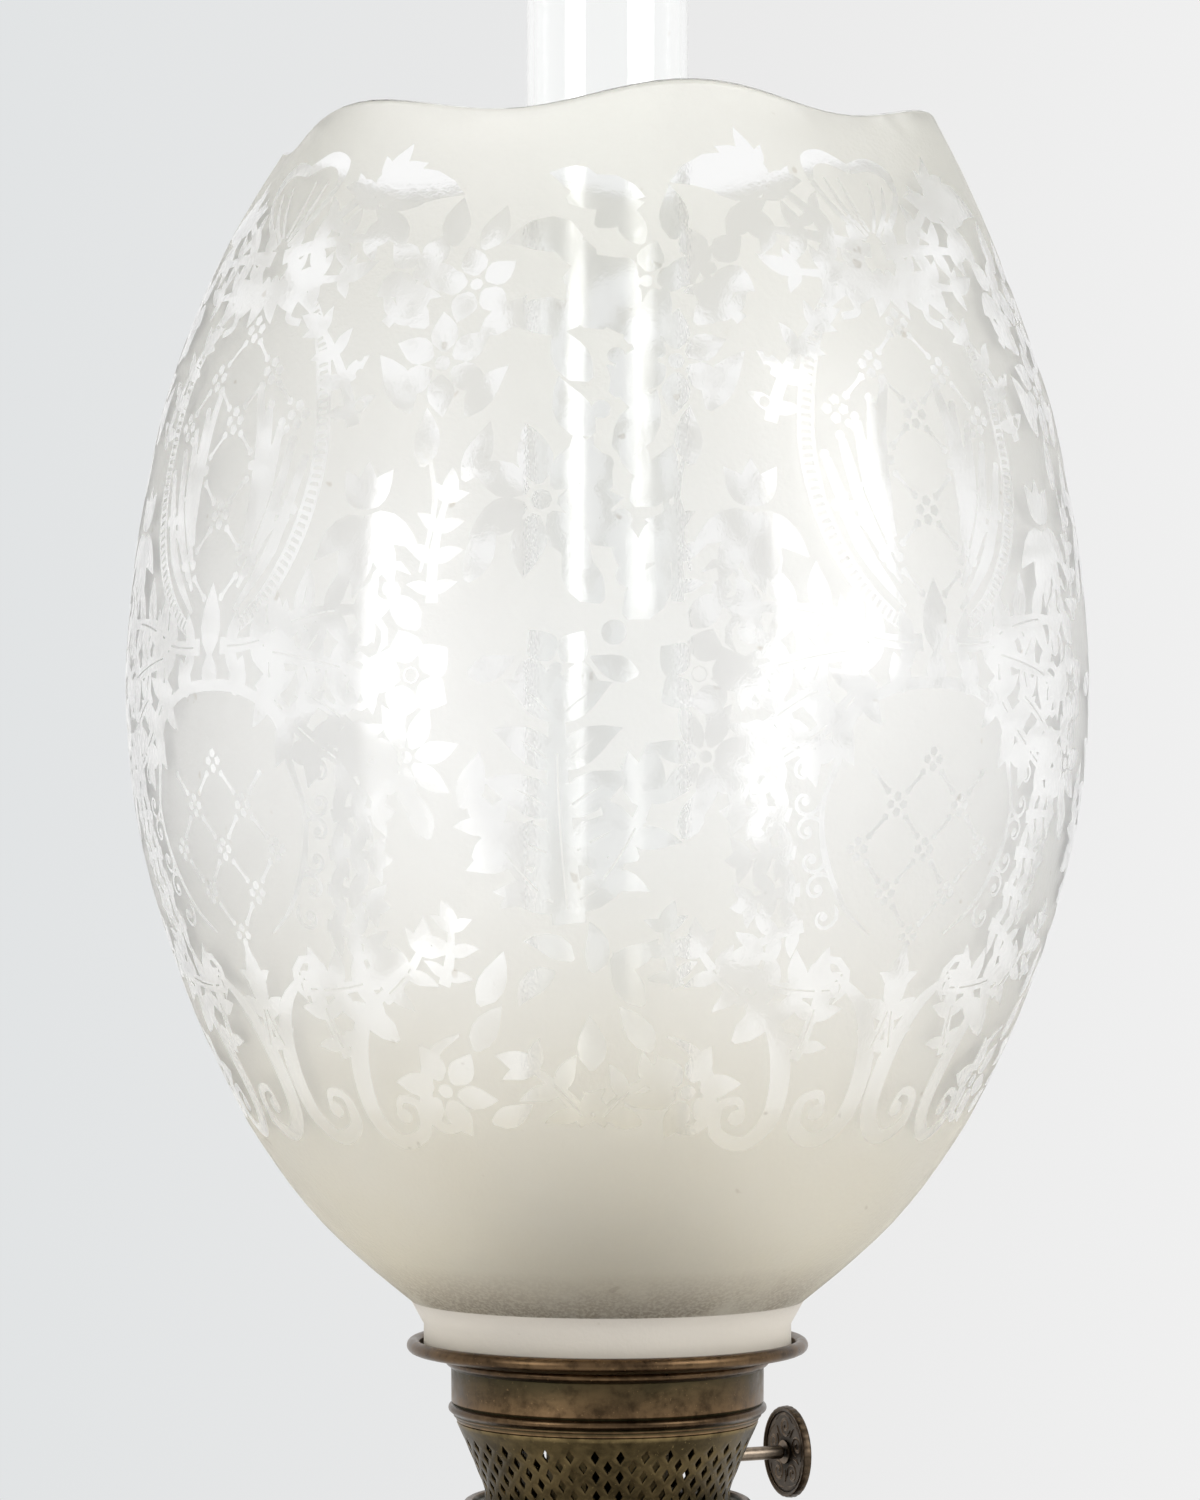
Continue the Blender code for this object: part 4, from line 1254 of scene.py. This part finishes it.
# %% The sprays
for number, turn in enumerate((152, 186, 220, 112, 256)):
    paint(at(leaf(16 - 2 * (number > 2), 5.2, 26 if turn < 180 else -26), (22.8, 183), turn))
for turn in (-36, 0, 34):
    paint(at(leaf(9.5, 4.6), (22.8, 185), turn))
flower((29.2, 152), 5, 8.4, 6.6, 12, 0.2)
paint(at(dot(1.4), (29.2, 152)), clear=False)
flower((28.4, 136), 7, 10.8, 4.0, 20, 0.12)
flower((26.0, 234), 5, 9.4, 5.4, 40)
flower((34.2, 231), 5, 8.4, 5.0, 10)
flower((31.0, 214), 6, 10.4, 5.2, 0)
flower((28.0, 67), 6, 10.2, 4.8, 15)
curl((26.4, 169), 30, 5.2, 1.2, 1.8)
curl((22.4, 150), 120, 6.4, 1.3, 2.0, -1)
curl((23.8, 160), 300, 4.6, 1.2, 1.7)
acanthus((20.0, 202), 14, 28, 9, 3, 34, veined=False)
acanthus((22.5, 223), -42, 17, 8.5, 2, 24, veined=False)
acanthus((31.5, 166), 4, 24, 8, 3, -24, veined=False)
acanthus((30.4, 90), -24, 15, 8, 2, 24, veined=False)
sprigs = (
    (30.5, 240, 10, 12, 5.4, -20), (23.0, 241, 34, 13, 5.2, 24), (34.5, 239, -30, 11, 5.0, 20),
    (28.4, 222, 50, 13, 5.2, -20), (35.5, 220, -56, 12, 5.0, 20), (27.4, 204, 20, 15, 5.6, 26),
    (34.5, 203, -26, 13, 5.0, -24), (29.6, 193, -10, 12, 5.0, 20), (34.6, 190, -34, 13, 5.0, 24),
    (35.4, 170, -30, 15, 5.2, 26), (30.0, 161, 36, 10, 5.2, 20), (35.8, 152, -80, 10, 4.6, 20),
    (24.2, 142, 104, 10, 4.2, 20), (34.6, 126, -30, 12, 5.0, 20), (30.6, 120, 24, 10, 4.6, -20),
    (35.6, 116, -64, 10, 4.6, 20), (25.6, 92, 58, 12, 4.6, -24), (34.6, 86, -40, 13, 5.0, 22),
    (22.6, 78, 40, 14, 5.2, 24), (33.4, 76, -24, 12, 4.8, -20), (34.2, 60, -74, 10, 4.4, 20),
)
for degrees, along, turn, length, width, bend in sprigs:
    paint(at(leaf(length, width, bend), (degrees, along), turn))
stroke([(28.6, 147), (28.0, 141)], [1.0, 0.8])
stroke([(26.5, 176), (24, 181)], [0.8, 1.2])
stroke([(30.0, 172), (31.4, 186), (29.5, 200)], [0.6, 1.2, 0.6])
for number in range(6):
    paint(at(dot(1.2 - 0.1 * number, 8), (20.6 - 0.3 * number, 206 + 3.4 * number)), clear=False)
print(len(shapes), "outlines with the sprays")

# %% [markdown]
# The garland is one chain of leaves on both sides of a swinging line, so it isn't mirrored. A loop makes the
# chain, and the blossom and the fan of leaves are set on it one by one.

# %% The garlands
garland = {"centres": GARLANDS, "mirrored": False}
acanthus((-1.5, 103), 6, 46, 21, 4, -8, **garland)
acanthus((-4.0, 108), 48, 22, 12, 2, -26, **garland)
acanthus((1.5, 110), -40, 26, 13, 2, 26, **garland)
flower((-4.4, 186), 7, 15, 6.4, 8, 0.14, **garland)
for number in range(6):
    swing = 3.6 + 1.6 * math.sin(1.3 * number)
    paint(at(dot(2.5 - 0.15 * number, 10), (swing, 160 + 11 * number)), **garland)
    paint(at(leaf(15, 7.2, 40), (swing + 1.2, 163 + 11 * number), -54), **garland)
    paint(at(leaf(14, 6.6, -40), (swing - 1.2, 166 + 11 * number), 50), **garland)
for number in range(4):
    side = -1 if number % 2 else 1
    paint(at(leaf(16, 7.4, 50 * side), (-2.6 + 2.2 * (side > 0), 222 + 9.2 * number), 66 * side), **garland)
    paint(at(leaf(11, 5.6, -36 * side), (1.4, 226 + 8.6 * number), -44 * side), **garland)
for number in range(4):
    paint(at(leaf(11, 4.4, 60), (-3.4 + 2.2 * number, 93 + 2.4 * (number % 2)), 104 - 66 * number), **garland)
acanthus((0.2, 60), 30, 20, 11, 2, 26, **garland)
acanthus((1.5, 60), -34, 17, 10, 2, -26, **garland)
paint(at(leaf(12, 5.2, 10), (0.8, 72), -4), **garland)
flower((-2.6, 153), 5, 8.4, 5.6, 30, **garland)
print(len(shapes), "outlines on half of the shade")

# %% [markdown]
# ### From the sheet to the glass
#
# `delaunay_2d_cdt` cuts the sheet into triangles that follow every outline, and says for each triangle
# which outlines it lies in. The outline that was painted last decides, so a frosted vein can part a clear
# leaf. Half of the shade is cut once and wrapped twice. The normals are worked out from the curve and not
# from the triangles, so thin triangles don't show in reflections.

# %% Cut the sheet
COLUMN = 3.6  # degrees
COLUMNS = 50  # on half of the shade
ROWS_UP = 54
FIRST = -97.0  # degrees where the sheet begins
SHEET_SCALE = 1.6  # millimetres for a degree on the flat sheet
GROUND_TOP = 3.5  # the fitter is ground all over up to here


def cut_sheet():
    """Points in (degrees, millimetres), triangles, and each triangle's finish, for half of the skin."""
    points, lines, faces = [], [], []
    rows = [SKIN_LOW + (SKIN_TOP - SKIN_LOW) * row / ROWS_UP for row in range(ROWS_UP + 1)]
    nearest = min(range(ROWS_UP + 1), key=lambda row: abs(rows[row] - GROUND_TOP))
    rows[nearest] = GROUND_TOP  # so that the ground fitter ends on a clean line
    for column in range(COLUMNS + 1):
        for along in rows:
            points.append(Vector(((FIRST + COLUMN * column) * SHEET_SCALE, along)))
    tall = ROWS_UP + 1
    lines += [(c * tall + r, (c + 1) * tall + r) for c in range(COLUMNS) for r in range(tall)]
    lines += [(c * tall + r, c * tall + r + 1) for c in range(COLUMNS + 1) for r in range(ROWS_UP)]
    last = FIRST + COLUMN * COLUMNS
    clear_shape = [False]
    border = [c * tall for c in range(COLUMNS + 1)] + [COLUMNS * tall + r for r in range(1, tall)]
    border += [c * tall + ROWS_UP for c in range(COLUMNS - 1, -1, -1)] + list(range(ROWS_UP - 1, 0, -1))
    faces.append(border)
    for outline, clear in shapes:
        low, high = min(p[0] for p in outline), max(p[0] for p in outline)
        for shift in (0, -180, 180):
            if high + shift < FIRST or low + shift > last:
                continue
            flat = [Vector(((degrees + shift) * SHEET_SCALE, along)) for degrees, along in outline]
            area = sum(a.x * b.y - b.x * a.y for a, b in zip(flat, flat[1:] + flat[:1]))
            if area < 0:
                flat.reverse()
            start = len(points)
            points += flat
            faces.append(list(range(start, start + len(flat))))
            clear_shape.append(clear)
    found = delaunay_2d_cdt(points, lines, faces, 1, 1e-4, True)
    placed, _, triangles, _, _, owners = found
    kept, finish = [], []
    for triangle, own in zip(triangles, owners):
        if 0 in own:
            kept.append(triangle)
            low = sum(placed[index].y for index in triangle) / 3 < GROUND_TOP
            finish.append(2 if low else int(clear_shape[max(own)]))
    return [(point.x / SHEET_SCALE, point.y) for point in placed], kept, finish


sheet_points, sheet_faces, sheet_finish = cut_sheet()
print(len(sheet_faces), "triangles on half of the skin,", sheet_finish.count(1), "of them clear")


# %% [markdown]
# Wrapping comes next. The inner skin and the two rounded ends are plain rings, built with the same function
# that places the outer skin, so all of them share the waves of the mouth.

# %% Wrap the shade
INNER_ROWS = 48
END_STEPS = 4


def shade_piece():
    vertices, faces, finish, normals = [], [], [], []

    def add(degrees, along, depth=0.0, outward=None):
        vertices.append(on_shade(degrees, along, depth))
        if outward is None:
            side = on_shade(degrees + 0.5, along, depth) - on_shade(degrees - 0.5, along, depth)
            up = on_shade(degrees, along + 0.5, depth) - on_shade(degrees, along - 0.5, depth)
            outward = side.cross(up).normalized() * (1 if depth == 0 else -1)
        normals.append(outward)
        return len(vertices) - 1

    used = sorted({index for face in sheet_faces for index in face})
    for shift in (0, 180):
        new = {index: add(sheet_points[index][0] + shift, sheet_points[index][1]) for index in used}
        faces += [tuple(new[index] for index in face) for face in sheet_faces]
        finish += sheet_finish
    half = SHADE_WALL / 2
    rings = []
    for along in (SKIN_TOP, SKIN_LOW):
        sign = 1 if along == SKIN_TOP else -1
        for part in range(END_STEPS + 1):
            turn = math.pi * part / END_STEPS
            rings.append((along, half - half * math.cos(turn), sign * 0.8 * math.sin(turn), turn, sign))
    inner_rows = [SKIN_TOP + (SKIN_LOW - SKIN_TOP) * row / INNER_ROWS for row in range(INNER_ROWS + 1)]
    around = 2 * COLUMNS

    def strip(build, amount):
        grid = []
        for level in range(amount):
            grid.append([build(level, FIRST + COLUMN * column) for column in range(around)])
        for lower, upper in zip(grid, grid[1:]):
            for column in range(around):
                after = (column + 1) % around
                faces.append((lower[column], lower[after], upper[after], upper[column]))
                finish.append(1)

    def end(rings_of_end):
        def build(level, degrees):
            along, depth, lift, turn, sign = rings_of_end[level]
            out = on_shade(degrees, along, 0) - on_shade(degrees, along, 1)
            up = (on_shade(degrees, along, 0) - on_shade(degrees, along - 1, 0)) * sign
            outward = (out * math.cos(turn) + up * math.sin(turn)).normalized()
            index = add(degrees, along, depth, outward)
            vertices[index] += up * abs(lift)
            return index

        strip(build, len(rings_of_end))

    end(rings[: END_STEPS + 1])
    strip(lambda level, degrees: add(degrees, inner_rows[level], SHADE_WALL), len(inner_rows))
    end(rings[:END_STEPS:-1])
    mesh = bpy.data.meshes.new("shade_etched")
    mesh.from_pydata(vertices, [], faces)
    mesh.polygons.foreach_set("material_index", finish)
    mesh.polygons.foreach_set("use_smooth", [True] * len(faces))
    layer = mesh.attributes.new("outward", "FLOAT_VECTOR", "POINT")
    layer.data.foreach_set("vector", [value for normal in normals for value in normal])
    piece = bpy.data.objects.new("shade_etched", mesh)
    bpy.context.collection.objects.link(piece)
    edit(piece)
    bpy.ops.mesh.remove_doubles(threshold=1e-6)
    bpy.ops.object.mode_set(mode="OBJECT")
    stored = [0.0] * (3 * len(mesh.vertices))
    mesh.attributes["outward"].data.foreach_get("vector", stored)
    mesh.attributes.remove(mesh.attributes["outward"])
    mesh.normals_split_custom_set_from_vertices([stored[n : n + 3] for n in range(0, len(stored), 3)])
    return piece


shade = shade_piece()
print(f"{shade.name}: {len(shade.data.vertices)} points")

# %% [markdown]
# The shade has three finishes: frosted, clear where wax kept the acid off, and white where the fitter was
# ground. Their order is the order of the numbers that the sheet gave to its triangles.

# %% Finish the shade
FROSTED = {"Glass": (0.955, 0.950, 0.925), "Dust": (0.90, 0.83, 0.66), "Haze": 0.5}
ETCHED = {"Glass": (0.99, 0.99, 0.985), "Dust": (0.86, 0.81, 0.68), "Haze": 0.07}
GROUND = {"Glass": (0.87, 0.81, 0.73), "Dust": (0.86, 0.80, 0.67), "Haze": 0.5}
FROSTED.update({"Low": 0.345, "High": 0.465, "Most": 0.85})
ETCHED.update({"Low": 0.345, "High": 0.45, "Most": 0.5})
GROUND.update({"Low": 0.34, "High": 0.36, "Most": 0.8})
frosted_glass = glass_finish("frosted_glass", FROSTED, 0.5, 0.0002, 0.79, True)
etched_glass = glass_finish("etched_glass", ETCHED, 0.5, 0.00003, 1.0, True)
ground_glass = glass_finish("ground_glass", GROUND, 0.5, 0.0002, 0.35)
for material in (frosted_glass, etched_glass, ground_glass):
    shade.data.materials.append(material)
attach(shade, "shade")
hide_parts("shade")
joined = Counter(key for face in shade.data.polygons for key in face.edge_keys)
open_edges = sum(1 for count in joined.values() if count != 2)
print(f"{shade.name}: {len(shade.data.polygons)} faces, {open_edges} edges that don't join two faces")
